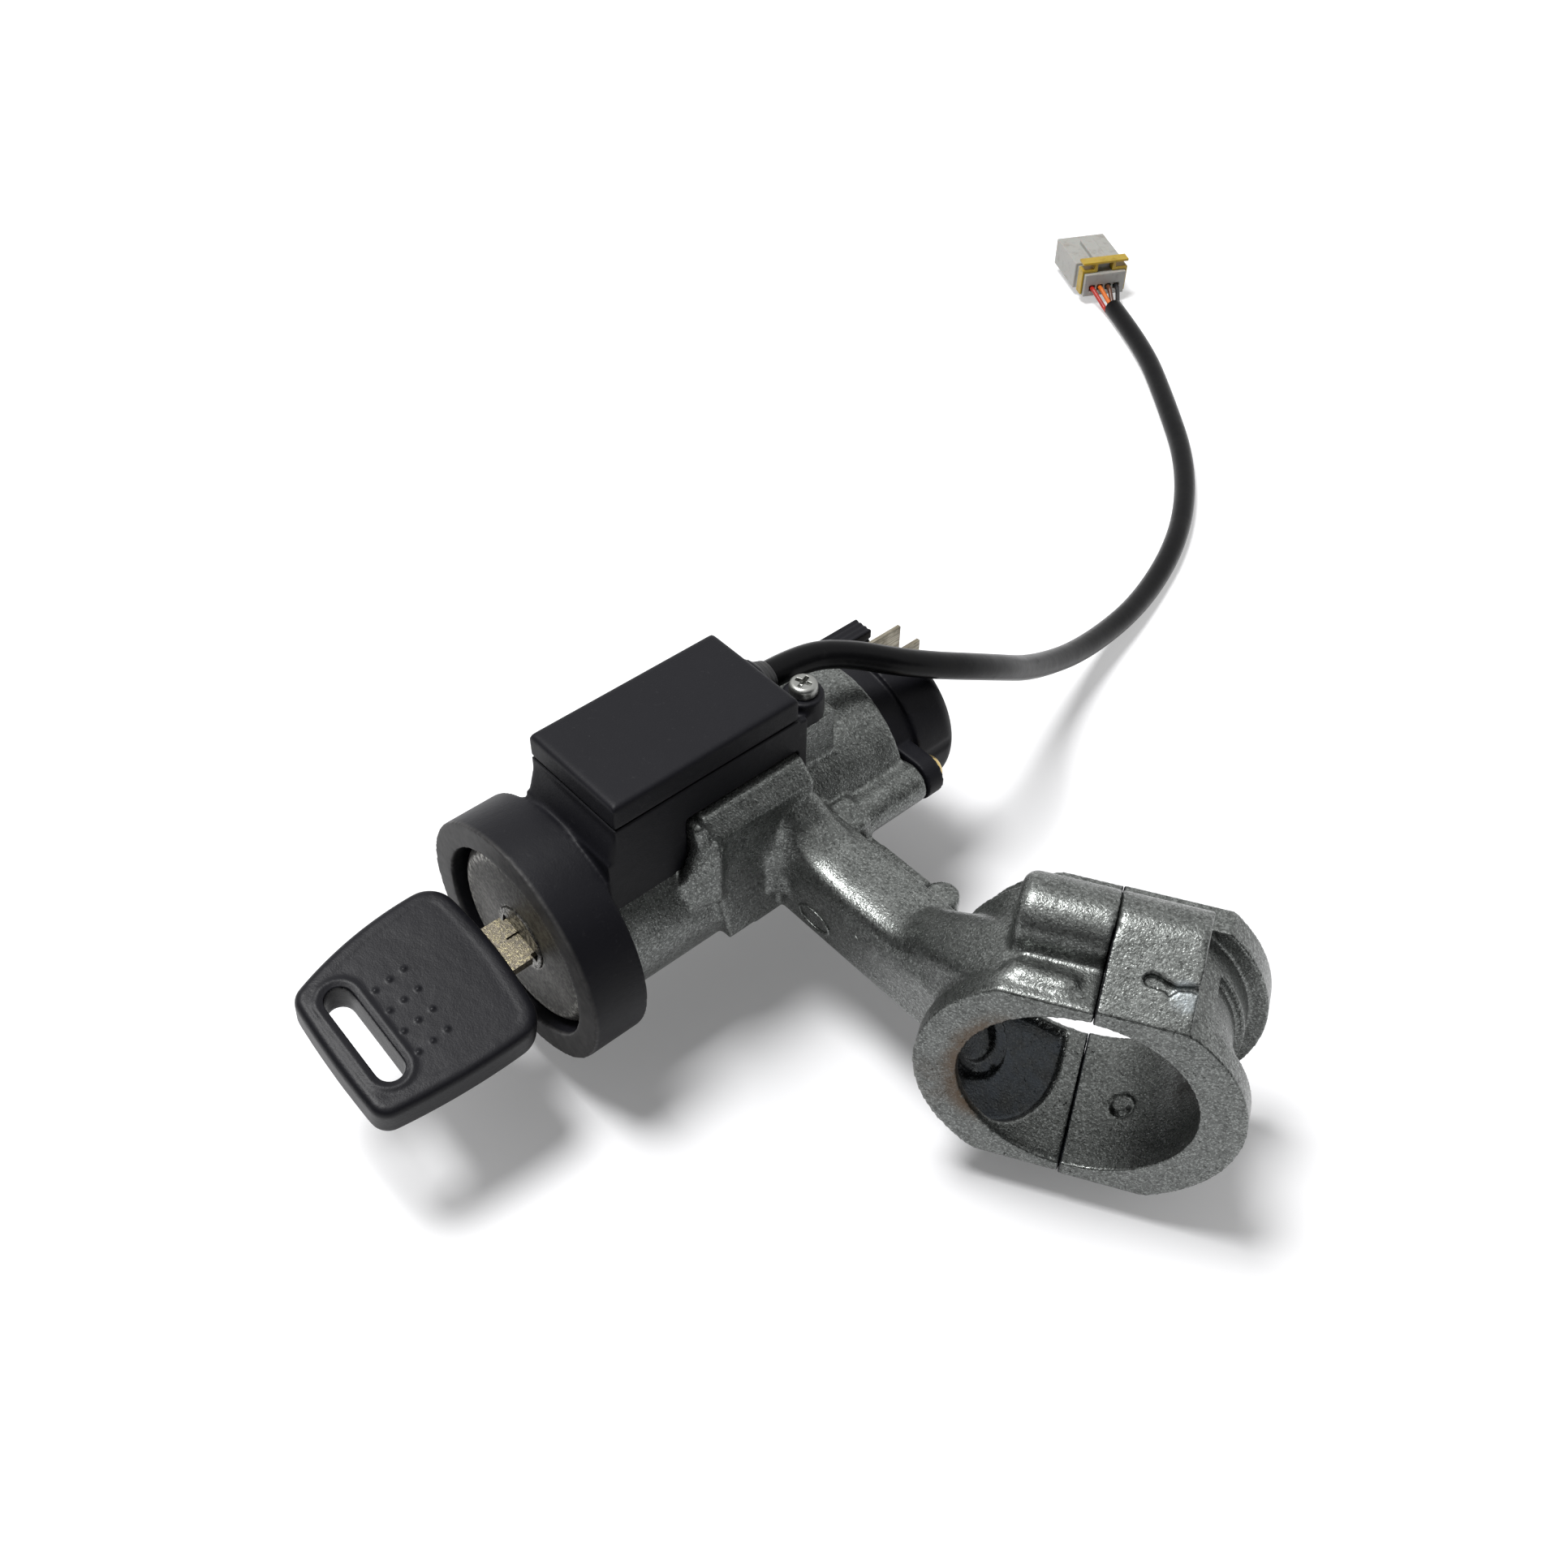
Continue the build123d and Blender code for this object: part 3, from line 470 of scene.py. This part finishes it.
inside_nodes = {
    "contact_carrier": ((0.62, 0.58, 0.48), (0.42, 0.38, 0.30), 0.45, "natural_plastic"),
    "contact_plate": ((0.16, 0.07, 0.03), (0.09, 0.04, 0.02), 0.5, "natural_plastic"),
    "circuit_board": ((0.02, 0.12, 0.05), (0.015, 0.08, 0.035), 0.4, "board"),
    "board_components": ((0.02, 0.02, 0.022), (0.05, 0.05, 0.05), 0.4, "components"),
    "transponder": ((0.05, 0.05, 0.055), (0.02, 0.02, 0.02), 0.2, "components"),
}
for node, (colour, shade, rough, slot) in inside_nodes.items():
    give_finish(nodes[node], plain_plastic(node + "_finish", colour, shade, rough), slot)


# Lock housing: one zinc die casting, the barrel, the arm and half of the column clamp.
# It is tumbled after casting, so it is grey and grainy, with bright flecks and dark pits.
clamp_centre = Vector((80.7, 63.9, 0.0))
clamp_turn = math.radians(31.0)
bore_radius = 20.3
split_gap = 0.3


def clamp_stains_and_pocket_shade(place):
    """How much painted shade the clamp's bolt pocket has and how dark its joint is, the
    colour of both, and how rusty it is round the arm side of the bore's front edge."""
    centre = tuple(clamp_centre * mm)
    turned_place = place.node("ShaderNodeVectorRotate", {
        "Vector": place, "Center": centre, "Axis": (0, 0, 1), "Angle": -clamp_turn,
    }, rotation_type="AXIS_ANGLE")
    in_clamp = turned_place.node("ShaderNodeVectorMath", {0: turned_place, 1: centre}, operation="SUBTRACT")
    side, along, up = (in_clamp.axis(name) for name in "XYZ")
    from_axis = in_clamp.scaled(1, 0, 1).length()
    near_clamp = 1 - in_clamp.length().rise(0.030, 0.031)

    # Painted shade: the bolt pocket, a recess, is painted dark.
    pocket_shade = from_axis.rise(0.0205, 0.0218) * (1 - from_axis.rise(0.0250, 0.0256))
    pocket_shade = pocket_shade * (1 - side.rise(-0.0042, -0.0030))
    pocket_shade = pocket_shade * side.sum("LESS_THAN", abs(along), 0.0138) * (1 - up.rise(0.0125, 0.0145))
    joint = near_clamp * (1 - abs(side).rise(0.00018, 0.00042))
    cloud = place.noise(0.004, 5, 0.65)
    joint_and_pocket_shade = side.sum("MAXIMUM", pocket_shade * (0.62 + 0.5 * cloud), joint)
    # The painted pocket shade and the joint line share one dark blue-grey, lighter in patches low down.
    pocket_shade_lighter_low = (1 - up.rise(-0.020, -0.008)) * cloud.rise(0.3, 0.7)
    joint_and_pocket_shade_tone = mix(pocket_shade_lighter_low, (0.010, 0.0105, 0.012), (0.034, 0.040, 0.048))

    rust_spot = tuple(Vector((69.0, 42.0, 2.0)) * mm)
    rusty = (1 - from_axis.rise(0.0208, 0.0245)) * place.near(rust_spot, 0.012, 0.008)
    rusty = rusty * place.noise(0.003, 4, 0.7).rise(0.30, 0.55) * (1 - along.rise(-0.0132, -0.0120))
    return joint_and_pocket_shade, joint_and_pocket_shade_tone, rusty


def zinc_finish(name, stains):
    """Bare cast zinc. Each stain is (centre in mm, radius, soft width, colour, strength)."""
    material, place = new_finish(name)
    cloud = place.noise(0.016, 4, 0.6)
    patch = place.noise(0.0045, 4, 0.6)
    grain = place.noise(0.0004, 1, 0.6)
    fleck = place.noise(0.00072, 3, 0.8)
    pit = place.noise(0.0006, 2, 0.6).rise(0.64, 0.70) * place.noise(0.006, 3, 0.6).rise(0.42, 0.62)
    bright = grain.rise(0.50, 0.64)
    dark = 1 - fleck.rise(0.40, 0.50)
    tone = mix(patch.rise(0.3, 0.75), (0.106, 0.112, 0.107), (0.150, 0.157, 0.151))
    tone = mix(bright * 0.6, tone, (0.31, 0.325, 0.315))
    tone = mix(dark * 0.6, tone, (0.032, 0.034, 0.032))
    tone = mix(cloud.rise(0.54, 0.76) * 0.35, tone, (0.10, 0.102, 0.098))
    tone = mix(pit * 0.85, tone, (0.018, 0.018, 0.017))
    dull = pit
    for spot, radius, soft, colour, strength in stains:
        ragged = place.near(tuple(Vector(spot) * mm), radius * mm, soft * mm)
        ragged = ragged * place.noise(0.004, 5, 0.7).rise(0.32, 0.58) * strength
        tone = mix(ragged, tone, colour)
        dull = dull.sum("MAXIMUM", dull, ragged)
    # Painted shade in the clamp's bolt pocket, with its dark joint line and its rust.
    joint_and_pocket_shade, joint_and_pocket_shade_tone, rusty = clamp_stains_and_pocket_shade(place)
    tone = mix(joint_and_pocket_shade, tone, joint_and_pocket_shade_tone)
    tone = mix(rusty * 0.85, tone, (0.080, 0.052, 0.030))
    height = 0.6 * grain + 0.4 * fleck - 0.9 * pit
    normal = bump(height, 0.00011, bump(patch, 0.00015))
    rough = 0.35 - 0.09 * bright + 0.3 * dull
    return close_finish(material, base_color=tone, metallic=0.85, roughness=rough, normal=normal)


def clamp_point(side, along, up):
    """A point given in the clamp's own axes, in mm."""
    return Vector((
        clamp_centre.x + side * math.cos(clamp_turn) - along * math.sin(clamp_turn),
        clamp_centre.y + side * math.sin(clamp_turn) + along * math.cos(clamp_turn),
        up,
    ))


def side_and_along(points):
    """Each point's place across the clamp's split and along its bore, in mm."""
    east, north = points[:, 0] - clamp_centre.x, points[:, 1] - clamp_centre.y
    side = east * math.cos(clamp_turn) + north * math.sin(clamp_turn)
    along = north * math.cos(clamp_turn) - east * math.sin(clamp_turn)
    return side, along


def bore_frame(points):
    """Each point's distance from the bore's axis, its arc from the bore's lowest line towards
    the arm, and its place along the bore, all in mm."""
    side, along = side_and_along(points)
    return np.hypot(side, points[:, 2]), bore_radius * np.arctan2(-side, -points[:, 2]), along


def push_out(points, reach, new_reach):
    """Move points straight away from the bore's axis to a new distance."""
    side, along = side_and_along(points)
    grow = new_reach / np.maximum(reach, 1e-6)
    side = side * grow
    points[:, 0] = clamp_centre.x + side * math.cos(clamp_turn) - along * math.sin(clamp_turn)
    points[:, 1] = clamp_centre.y + side * math.sin(clamp_turn) + along * math.cos(clamp_turn)
    points[:, 2] = points[:, 2] * grow


def fade(gap, width):
    """0 where there is no gap, rising to 1 where the gap is as wide as the width."""
    return np.clip(gap / width, 0, 1)


def close_split(piece):
    """Bring a clamp half's face up to the other half, so that the joint shows as a dark line."""
    face_width, clamp_start, overlap = 1.2, 60.0, 0.01
    points = points_of(piece)
    side, _ = side_and_along(points)
    near_split = np.clip(face_width - np.abs(side), 0, 1) * (points[:, 0] > clamp_start)
    shift = -np.sign(side) * near_split * (split_gap / 2 + overlap)
    points[:, 0] += shift * math.cos(clamp_turn)
    points[:, 1] += shift * math.sin(clamp_turn)
    move_points(piece, points)


def sink_pocket(piece):
    """Sink the pocket for the lock bolt into the bore, with a raised ring round the bolt's mouth."""
    # The pocket's edges and its round end, in mm round the bore's wall and along it
    lowest, round_start, pocket_end, half_wide, half_long = 2.5, 16.0, 44.0, 12.7, 19.0
    long_start, pocket_back = 6.0, 13.4
    wall_inner, wall_outer = 19.6, 25.0
    shallow, deeper, deepening = 1.6, 2.6, 9.0
    mouth_arc, mouth_along, ring_inner, ring_outer, ring_height = 23.0, 3.0, 6.8, 9.9, 1.3
    points = points_of(piece)
    reach, arc, along = bore_frame(points)
    oval = np.hypot((round_start - np.clip(arc, None, round_start)) / half_wide,
                    np.clip(long_start - along, 0, None) / half_long)
    sink = fade(1.0 - oval, 0.09) * fade(pocket_back - along, 0.8)
    sink = sink * fade(pocket_end - arc, 1.2) * (arc > lowest)
    sink = sink * (reach > wall_inner) * (reach < wall_outer)
    sink = sink * sink * (3 - 2 * sink)
    deep = shallow + deeper * fade(arc - deepening, 9.0)
    from_mouth = np.hypot(arc - mouth_arc, along - mouth_along)
    deep = deep - ring_height * fade(ring_outer - from_mouth, 0.5) * fade(from_mouth - ring_inner, 0.5)
    push_out(points, reach, np.where(sink > 0, bore_radius + deep * sink, reach))
    move_points(piece, points)


# Pads of (centre, radius) balls in mm, cast on where the real casting has a ridge or a blend
second_ridge = [(clamp_point(-12.8, -9.8, 21.0), 3.4), (clamp_point(-5.4, -10.2, 21.1), 3.3)]
arm_shoulder = [
    ((48.0, 50.0, 6.4), 2.8), ((48.0, 55.0, 6.1), 2.8), (clamp_point(-14.5, -10.2, 18.8), 3.4),
    (clamp_point(-15.0, 0.0, 18.4), 3.4), (clamp_point(-20.0, -8.0, 4.0), 2.5),
    (clamp_point(-20.0, 5.0, 4.0), 2.5),
]
block_to_barrel = [
    ((15.95, 31.9, 21.4), 1.1), ((17.2, 31.9, 21.2), 1.0), ((19.7, 31.9, 17.6), 1.0),
    ((19.2, 31.9, 5.0), 1.0), ((15.9, 26.5, 9.6), 1.0), ((17.4, 27.5, 5.0), 1.0),
    ((15.95, 31.9, 10.0), 1.0),
]
block_lip = [((x, 30.15, z), 0.95) for x, z in ((12.8, 21.6), (16.0, 21.2), (16.0, 12.0), (12.8, 15.0))]
block_to_arm = [((x, y, z), 0.9) for x, y in ((19.2, 44.0), (23.2, 46.8), (19.2, 46.8)) for z in (8.6, -1.5)]
boss_foot = [((x, y, z), 1.6) for x, z in ((18.2, 6.6), (22.6, 4.6)) for y in (58.5, 64.0)]
housing_pads = [second_ridge, arm_shoulder, block_to_barrel, block_lip, block_to_arm, boss_foot]
arm_underside_stain = (66.0, 44.0, -6.0), 4.0, 7.0, (0.075, 0.05, 0.032), 0.35

housing = soft_copy("housing", "lock_housing", 0.48, 8, 0.6, housing_pads)
arm_front_y, arm_top_z = 46.2, 9.2
block_side_x, block_front_y = 20.4, 44.0
round_edge(housing, (23.0, arm_front_y, arm_top_z), (50.0, arm_front_y, arm_top_z), 6.0, 110)
round_edge(housing, (block_side_x, block_front_y, 8.5), (block_side_x, block_front_y, -6.0), 3.5, 40)
round_edge(housing, clamp_point(-14, -6, 23.3), clamp_point(-1.2, -6, 23.3), 3.5, 20)
round_edge(housing, clamp_point(-14, -12.4, 22.5), clamp_point(-1.2, -13.6, 22.0), 3.0, 16)
sink_pocket(housing)
close_split(housing)
cast_zinc = zinc_finish("cast_zinc", [arm_underside_stain])
give_finish(housing, cast_zinc, "zinc_casting")
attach(housing, "lock_body")


# Clamp cap: the loose half of the column clamp, cast in the same zinc and held by the two
# shear bolts. An ejector has left a round mark in its bore, and one torn patch shines.
bore_grease = clamp_point(18.5, 2.0, -7.0), 3.0, 7.0, (0.045, 0.043, 0.04), 0.85
torn_shine = clamp_point(12.8, -9.6, 26.6), 1.4, 1.8, (0.30, 0.33, 0.345), 0.75


def press_ejector_mark(piece):
    """A flat pip with a groove round it, where the ejector pin stood in the die."""
    mark_arc, mark_along, pip_radius, groove_radius = -8.5, -1.0, 1.9, 2.3
    pip_height, groove_depth, groove_width, mark_radius = 0.5, 0.3, 0.35, 4.0
    wall_inner, wall_outer = 19.9, 20.9
    points = points_of(piece)
    reach, arc, along = bore_frame(points)
    from_pin = np.hypot(arc - mark_arc, along - mark_along)
    pip = pip_height * fade(pip_radius - from_pin, 0.4)
    pip = pip - groove_depth * np.exp(-((from_pin - groove_radius) / groove_width) ** 2)
    in_mark = (reach > wall_inner) & (reach < wall_outer) & (from_pin < mark_radius)
    push_out(points, reach, reach - pip * in_mark)
    move_points(piece, points)


cap = soft_copy("cap", "clamp_cap", 0.30, 3, 0.7)
round_edge(cap, clamp_point(0.6, 0.0, 31.8), clamp_point(14.0, 0.0, 31.8), 5.0, 60)
press_ejector_mark(cap)
close_split(cap)
give_finish(cap, zinc_finish("cap_zinc", [bore_grease, torn_shine]), "zinc_casting")
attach(cap, "lock_body")


# Cast oval: a plain raised ring, left from the die, on the arm's front face.
# It is part of the casting, so it has the housing's finish.
def oval_ring(name, centre, wide, tall, thick, lean):
    """A ring of half width wide and half height tall, on a face that leans back by lean."""
    curve = bpy.data.curves.new(name, "CURVE")
    curve.dimensions = "3D"
    curve.bevel_depth = thick * mm
    curve.bevel_resolution = 2
    loop = curve.splines.new("POLY")
    loop.use_cyclic_u = True
    steps = 40
    loop.points.add(steps - 1)
    for index, point in enumerate(loop.points):
        angle = 2 * math.pi * index / steps
        east, up = wide * math.cos(angle), tall * math.sin(angle)
        point.co = (*(Vector((centre[0] + east, centre[1] - lean * up, centre[2] + up)) * mm), 1.0)
    ring = bpy.data.objects.new(name, curve)
    scene.collection.objects.link(ring)
    mesh = final_mesh(ring)
    bpy.data.objects.remove(ring)
    piece = bpy.data.objects.new(name, mesh)
    scene.collection.objects.link(piece)
    return piece


cast_oval = oval_ring("cast_oval", (29.4, arm_front_y, -3.3), 4.0, 2.4, 0.32, lean=0.09)
give_finish(cast_oval, cast_zinc, "zinc_casting")
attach(cast_oval, "lock_body")


# Lock face and rotor: zinc again, but rubbed bright on the bevel and dulled by hands and
# keys in the middle. The rotor is the turning plug inside the sleeve.
def face_finish():
    material, place = new_finish("worn_face")
    reach = place.scaled(1, 0, 1).length()
    fleck = place.noise(0.0008, 4, 0.75)
    patch = place.noise(0.004, 4, 0.6)
    edge = reach.rise(0.0152, 0.0166) + (1 - reach.rise(0.0064, 0.0072))
    shiny = (edge * 1.1 + 0.22) * fleck.rise(0.42, 0.62)
    tone = mix(patch.rise(0.3, 0.7), (0.036, 0.035, 0.033), (0.075, 0.073, 0.069))
    tone = mix(shiny.sum("MINIMUM", shiny, 1.0), tone, (0.25, 0.245, 0.225))
    normal = bump(fleck, 0.00008, bump(patch, 0.0002))
    return close_finish(material, base_color=tone, metallic=0.8, roughness=0.55 - 0.2 * shiny, normal=normal)


sleeve = soft_copy("sleeve", "lock_sleeve", 0.30, 2, 0.7)
flange_depth, flange_start, flange_width, flange_spread = 5.2, 13.0, 4.0, 0.045
points = points_of(sleeve)
reach = np.hypot(points[:, 0], points[:, 2])
spread = 1 + flange_spread * fade(reach - flange_start, flange_width) * (points[:, 1] < flange_depth)
points[:, [0, 2]] *= spread[:, None]
move_points(sleeve, points)
worn_face = face_finish()
give_finish(sleeve, worn_face, "worn_face")
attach(sleeve, "lock_body")
give_finish(nodes["rotor"], worn_face, "worn_face")


# Aerial case and lid: glass-filled black nylon, moulded with a fine matt grain. The ring
# carries the coil round the lock, and one cross-head screw holds the ear to the casting.
def case_finish(name, tone_low, tone_high, rough):
    material, place = new_finish(name)
    cloud = place.noise(0.02, 4, 0.6)
    grain = place.noise(0.00035, 2, 0.6)
    scuff = place.noise(0.0024, 6, 0.75, 0.6).rise(0.60, 0.72)
    dust = place.noise(0.0007, 4, 0.8).rise(0.64, 0.74)
    tone = mix(cloud, tone_low, tone_high)
    tone = mix(scuff * 0.4, tone, (0.026, 0.026, 0.029))
    tone = mix(dust * 0.35, tone, (0.07, 0.068, 0.065))
    normal = bump(grain, 0.00003, bump(cloud, 0.0003))
    # Painted light: the ring's front face is painted paler, in patches.
    wear_and_light_patches = 0.5 + 0.5 * place.noise(0.003, 5, 0.7).rise(0.35, 0.65)
    painted_light_front = 1 - place.axis("Y").rise(0.0002, 0.0010)
    tone = mix(painted_light_front * wear_and_light_patches, tone, (0.045, 0.044, 0.0435))
    return close_finish(material, base_color=tone, roughness=rough + 0.12 * dust - 0.08 * scuff,
                        normal=normal, specular_ior_level=0.13)


black_case = case_finish("black_case", (0.0045, 0.0045, 0.0062), (0.0075, 0.0075, 0.0100), 0.48)
neck_slope = [((x, y, z), 0.9) for y, z in ((12.95, 23.1), (15.0, 29.9)) for x in (-8.1, 13.9)]
neck_reach = 23.4
neck_arc = [((neck_reach * math.sin(lean), y, neck_reach * math.cos(lean)), 0.95)
            for lean in (-0.33, -0.1, 0.13, 0.36, 0.6) for y in (10.8, 13.2)]
ring_case = soft_copy("ring_case", "aerial_case", 0.40, 5, 1.0, [neck_slope, neck_arc])
points = points_of(ring_case)
reach = np.hypot(points[:, 0], points[:, 2])
bore_inner, bore_outer, bore_depth, bore_share = 19.2, 20.6, 5.2, 0.967
in_front_bore = (reach > bore_inner) & (reach < bore_outer) & (points[:, 1] < bore_depth)
points[:, [0, 2]] *= np.where(in_front_bore, bore_share, 1.0)[:, None]
move_points(ring_case, points)
give_finish(ring_case, black_case, "black_plastic")
lid = soft_copy("lid", "case_lid", 0.36, 16)
give_finish(lid, black_case, "black_plastic")
screw = soft_copy("screw", "case_screw", 0.11)
screw_zinc = small_metal("screw_zinc", (0.30, 0.305, 0.29), (0.13, 0.13, 0.12), 0.30)
give_finish(screw, screw_zinc, "zinc_steel")
for piece in (ring_case, lid, screw):
    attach(piece, "lock_body")


# Key: a milled nickel-plated brass blade, its plating worn through in specks, and a black
# head moulded over it with a raised rim, a long slot and a field of small grip dimples.
def blade_finish():
    material, place = new_finish("key_nickel")
    fleck = place.noise(0.00055, 4, 0.8)
    wear_and_light_patches = place.noise(0.0022, 4, 0.6)
    tone = mix(wear_and_light_patches.rise(0.35, 0.65), (0.20, 0.185, 0.14), (0.27, 0.235, 0.15))
    tone = mix(fleck.rise(0.50, 0.60), tone, (0.85, 0.76, 0.42))
    tone = mix(place.noise(0.0006, 3, 0.7).rise(0.54, 0.62) * 0.75, tone, (0.04, 0.033, 0.02))
    # The blade is darker towards the rotor.
    darker_towards_rotor = place.axis("Y").rise(-0.0046, -0.0032) * 0.75
    tone = mix(darker_towards_rotor, tone, (0.085, 0.074, 0.062))
    return close_finish(material, base_color=tone, metallic=0.85, roughness=0.46 - 0.15 * wear_and_light_patches,
                        normal=bump(fleck, 0.00009))


def head_finish():
    material, place = new_finish("key_plastic")
    cloud = place.noise(0.009, 4, 0.6)
    grain = place.noise(0.0003, 2, 0.6)
    scuff = place.noise(0.0016, 6, 0.8, 1.2).rise(0.60, 0.72)
    tone = mix(cloud, (0.0055, 0.0055, 0.0072), (0.010, 0.010, 0.0125))
    tone = mix(scuff * 0.5, tone, (0.030, 0.030, 0.033))
    normal = bump(grain, 0.00003, bump(cloud, 0.0002))
    return close_finish(material, base_color=tone, roughness=0.34 + 0.12 * cloud + 0.1 * scuff, normal=normal,
                        specular_ior_level=0.15)


def shape_head(piece):
    """Press in the head's panel, the rim round its long slot and its grip dimples, both sides."""
    key_turn = math.radians(12.0)
    outline = [(-11.6, -37.7), (2.0, -38.4), (16.2, -38.0), (18.0, -20.0), (17.7, -6.0), (0.0, -3.9),
               (-16.9, -5.2), (-16.0, -23.0)]
    half_thick, face_level, panel_inset, panel_depth_share = 3.9, 2.9, 1.9, 0.25
    slot_x, slot_y, slot_half, slot_radius = 1.4, -31.5, 7.7, 2.6
    rim_height, rim_gap, rim_width = 0.25, 1.2, 0.7
    dimple_height, dimple_width, columns, rows = 0.35, 0.42, 4, 3
    first_x, first_y = -4.3, -25.7
    column_x, column_y, row_x, row_y = 4.64, -0.18, -0.34, 3.07
    points = points_of(piece)
    flat_x = points[:, 0] * math.cos(key_turn) - points[:, 2] * math.sin(key_turn)
    flat_y = points[:, 1]
    lift = points[:, 0] * math.sin(key_turn) + points[:, 2] * math.cos(key_turn)
    inward = np.full(len(points), np.inf)
    for (x0, y0), (x1, y1) in zip(outline, outline[1:] + outline[:1]):
        length = math.hypot(x1 - x0, y1 - y0)
        inward = np.minimum(inward, ((x1 - x0) * (flat_y - y0) - (y1 - y0) * (flat_x - x0)) / length)
    slot_gap = np.hypot(np.clip(np.abs(flat_x - slot_x) - slot_half, 0, None), flat_y - slot_y) - slot_radius
    level = np.abs(lift)
    panel = (inward > panel_inset) & (level > face_level)
    raised = np.where(panel, half_thick - panel_depth_share * (half_thick - level), level)
    raised = raised + rim_height * np.exp(-((slot_gap - rim_gap) / rim_width) ** 2) * panel
    for column in range(columns):
        for row in range(rows):
            x = first_x + column_x * column + row_x * row
            y = first_y + column_y * column + row_y * row
            from_dimple = np.hypot(flat_x - x, flat_y - y)
            raised = raised + dimple_height * np.exp(-(from_dimple / dimple_width) ** 2) * panel
    lift = np.sign(lift) * raised
    points[:, 0] = flat_x * math.cos(key_turn) + lift * math.sin(key_turn)
    points[:, 2] = -flat_x * math.sin(key_turn) + lift * math.cos(key_turn)
    move_points(piece, points)


give_finish(nodes["key_blade"], blade_finish(), "key_nickel")
head = soft_copy("head", "key_head", 0.24, 22)
shape_head(head)
give_finish(head, head_finish(), "key_plastic")
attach(head, "key")


# Rear switch: a black nylon bowl held to the casting by two brass screws, with an open bay
# at the back where the tinned brass blades stand on edge for the loom's plug.
def terminal_finish():
    material, place = new_finish("tinned_blades")
    drawn = place.scaled(1, 0.05, 1).noise(0.0004, 3, 0.7)
    film = place.noise(0.002, 4, 0.6).rise(0.4, 0.7)
    tone = mix(drawn.rise(0.35, 0.65), (0.42, 0.39, 0.31), (0.16, 0.14, 0.11))
    tone = mix(film * 0.5, tone, (0.15, 0.13, 0.09))
    return close_finish(material, base_color=tone, metallic=0.85, roughness=0.34 + 0.2 * film,
                        normal=bump(drawn, 0.00006))


switch = soft_copy("switch", "switch_housing", 0.34)
give_finish(switch, black_case, "black_plastic")
switch_screws = soft_copy("rear_screws", "switch_screws", 0.14)
give_finish(switch_screws, brass, "brass")
for piece in (switch, switch_screws):
    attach(piece, "lock_body")
give_finish(nodes["switch_terminals"], terminal_finish(), "tinned_brass")


# Bench and light: a white table that runs past the picture, one round soft box nearly overhead,
# an even pale room, and a dark screen in front and on the right that gives the metal its contrast.
def shown_share(term):
    """1 for what the camera sees, straight, mirrored or through glass, and 0 for other light."""
    straight, mirrored, through = (
        term.node("ShaderNodeLightPath", output=f"Is {ray} Ray")
        for ray in ("Camera", "Glossy", "Transmission"))
    return term.sum("MAXIMUM", straight, term.sum("MAXIMUM", mirrored, through))


def bench_finish():
    """Matt white. It glows white where it is only background, and less under and around the
    object, a painted shadow there, so that the object's shadow stays."""
    material, place = new_finish("bench_white")
    tree = material.node_tree
    tree.nodes.remove(tree.nodes["Principled BSDF"])
    # The glow is weakest under and around the object: a painted shadow on the bench.
    under, around, beyond = 0.14, 0.30, 0.56
    outside_painted_shadow = 1 - place.near((0.035, 0.05, 0.0), 0.03, 0.13)
    far = 1 - place.near((0.0, 0.0, 0.0), 0.42, 0.40)
    glow_level = shown_share(place) * (under + around * outside_painted_shadow + beyond * far)
    diffuse = place.node("ShaderNodeBsdfDiffuse", {"Color": (0.72, 0.72, 0.73, 1.0)}, "BSDF")
    glow = place.node("ShaderNodeEmission", {"Color": glow_level, "Strength": 1.0}, "Emission")
    both = place.node("ShaderNodeAddShader", {0: diffuse, 1: glow})
    tree.links.new(both.socket, tree.nodes["Material Output"].inputs["Surface"])
    return material


def stage_sheet(name, sides, material):
    """Flat sheets, each given by its four corners in metres, that belong to the stage."""
    corners = [corner for side in sides for corner in side]
    mesh = bpy.data.meshes.new(name)
    mesh.from_pydata(corners, [], [tuple(range(4 * i, 4 * i + 4)) for i in range(len(sides))])
    sheet = bpy.data.objects.new(name, mesh)
    mesh.materials.append(material)
    scene.collection.objects.link(sheet)
    return sheet


floor_z = cad_box[0].z - 0.0001
bench_half = 6.0
bench_corners = [(-bench_half, -bench_half, floor_z), (bench_half, -bench_half, floor_z),
                 (bench_half, bench_half, floor_z), (-bench_half, bench_half, floor_z)]
stage_sheet("bench", [bench_corners], bench_finish())


def screen_finish():
    material, _ = new_finish("screen_black")
    return close_finish(material, base_color=(0.03, 0.03, 0.032), roughness=0.9)


screen_left, screen_x, screen_y, screen_back, screen_top = -0.5, 0.60, -0.62, 0.5, 0.62
screen_front = [(screen_left, screen_y, floor_z), (screen_x, screen_y, floor_z),
                (screen_x, screen_y, screen_top), (screen_left, screen_y, screen_top)]
screen_side = [(screen_x, screen_y, floor_z), (screen_x, screen_back, floor_z),
               (screen_x, screen_back, screen_top), (screen_x, screen_y, screen_top)]
screen = stage_sheet("screen", [screen_front, screen_side], screen_finish())
screen.visible_camera = False

lamp_place, lamp_aim = Vector((-0.20, -0.12, 0.95)), Vector((0.03, 0.06, 0.0))
lamp_data = bpy.data.lights.new("overhead", "AREA")
lamp_data.shape = "DISK"
lamp_data.size = 0.36
lamp_data.energy = 12.5
lamp = bpy.data.objects.new("overhead", lamp_data)
scene.collection.objects.link(lamp)
lamp.location = lamp_place
lamp.rotation_euler = (lamp_aim - lamp_place).to_track_quat("-Z", "Y").to_euler()

world = bpy.data.worlds.new("room")
scene.world = world
world.use_nodes = True
room = world.node_tree.nodes["Background"]
room.inputs["Color"].default_value = (1.0, 1.0, 1.0, 1.0)
room_light, shown_light = 0.26, 1.0
brightness = room_light + (shown_light - room_light) * shown_share(Term(world.node_tree))
world.node_tree.links.new(brightness.socket, room.inputs["Strength"])

scene.view_settings.view_transform = "Standard"
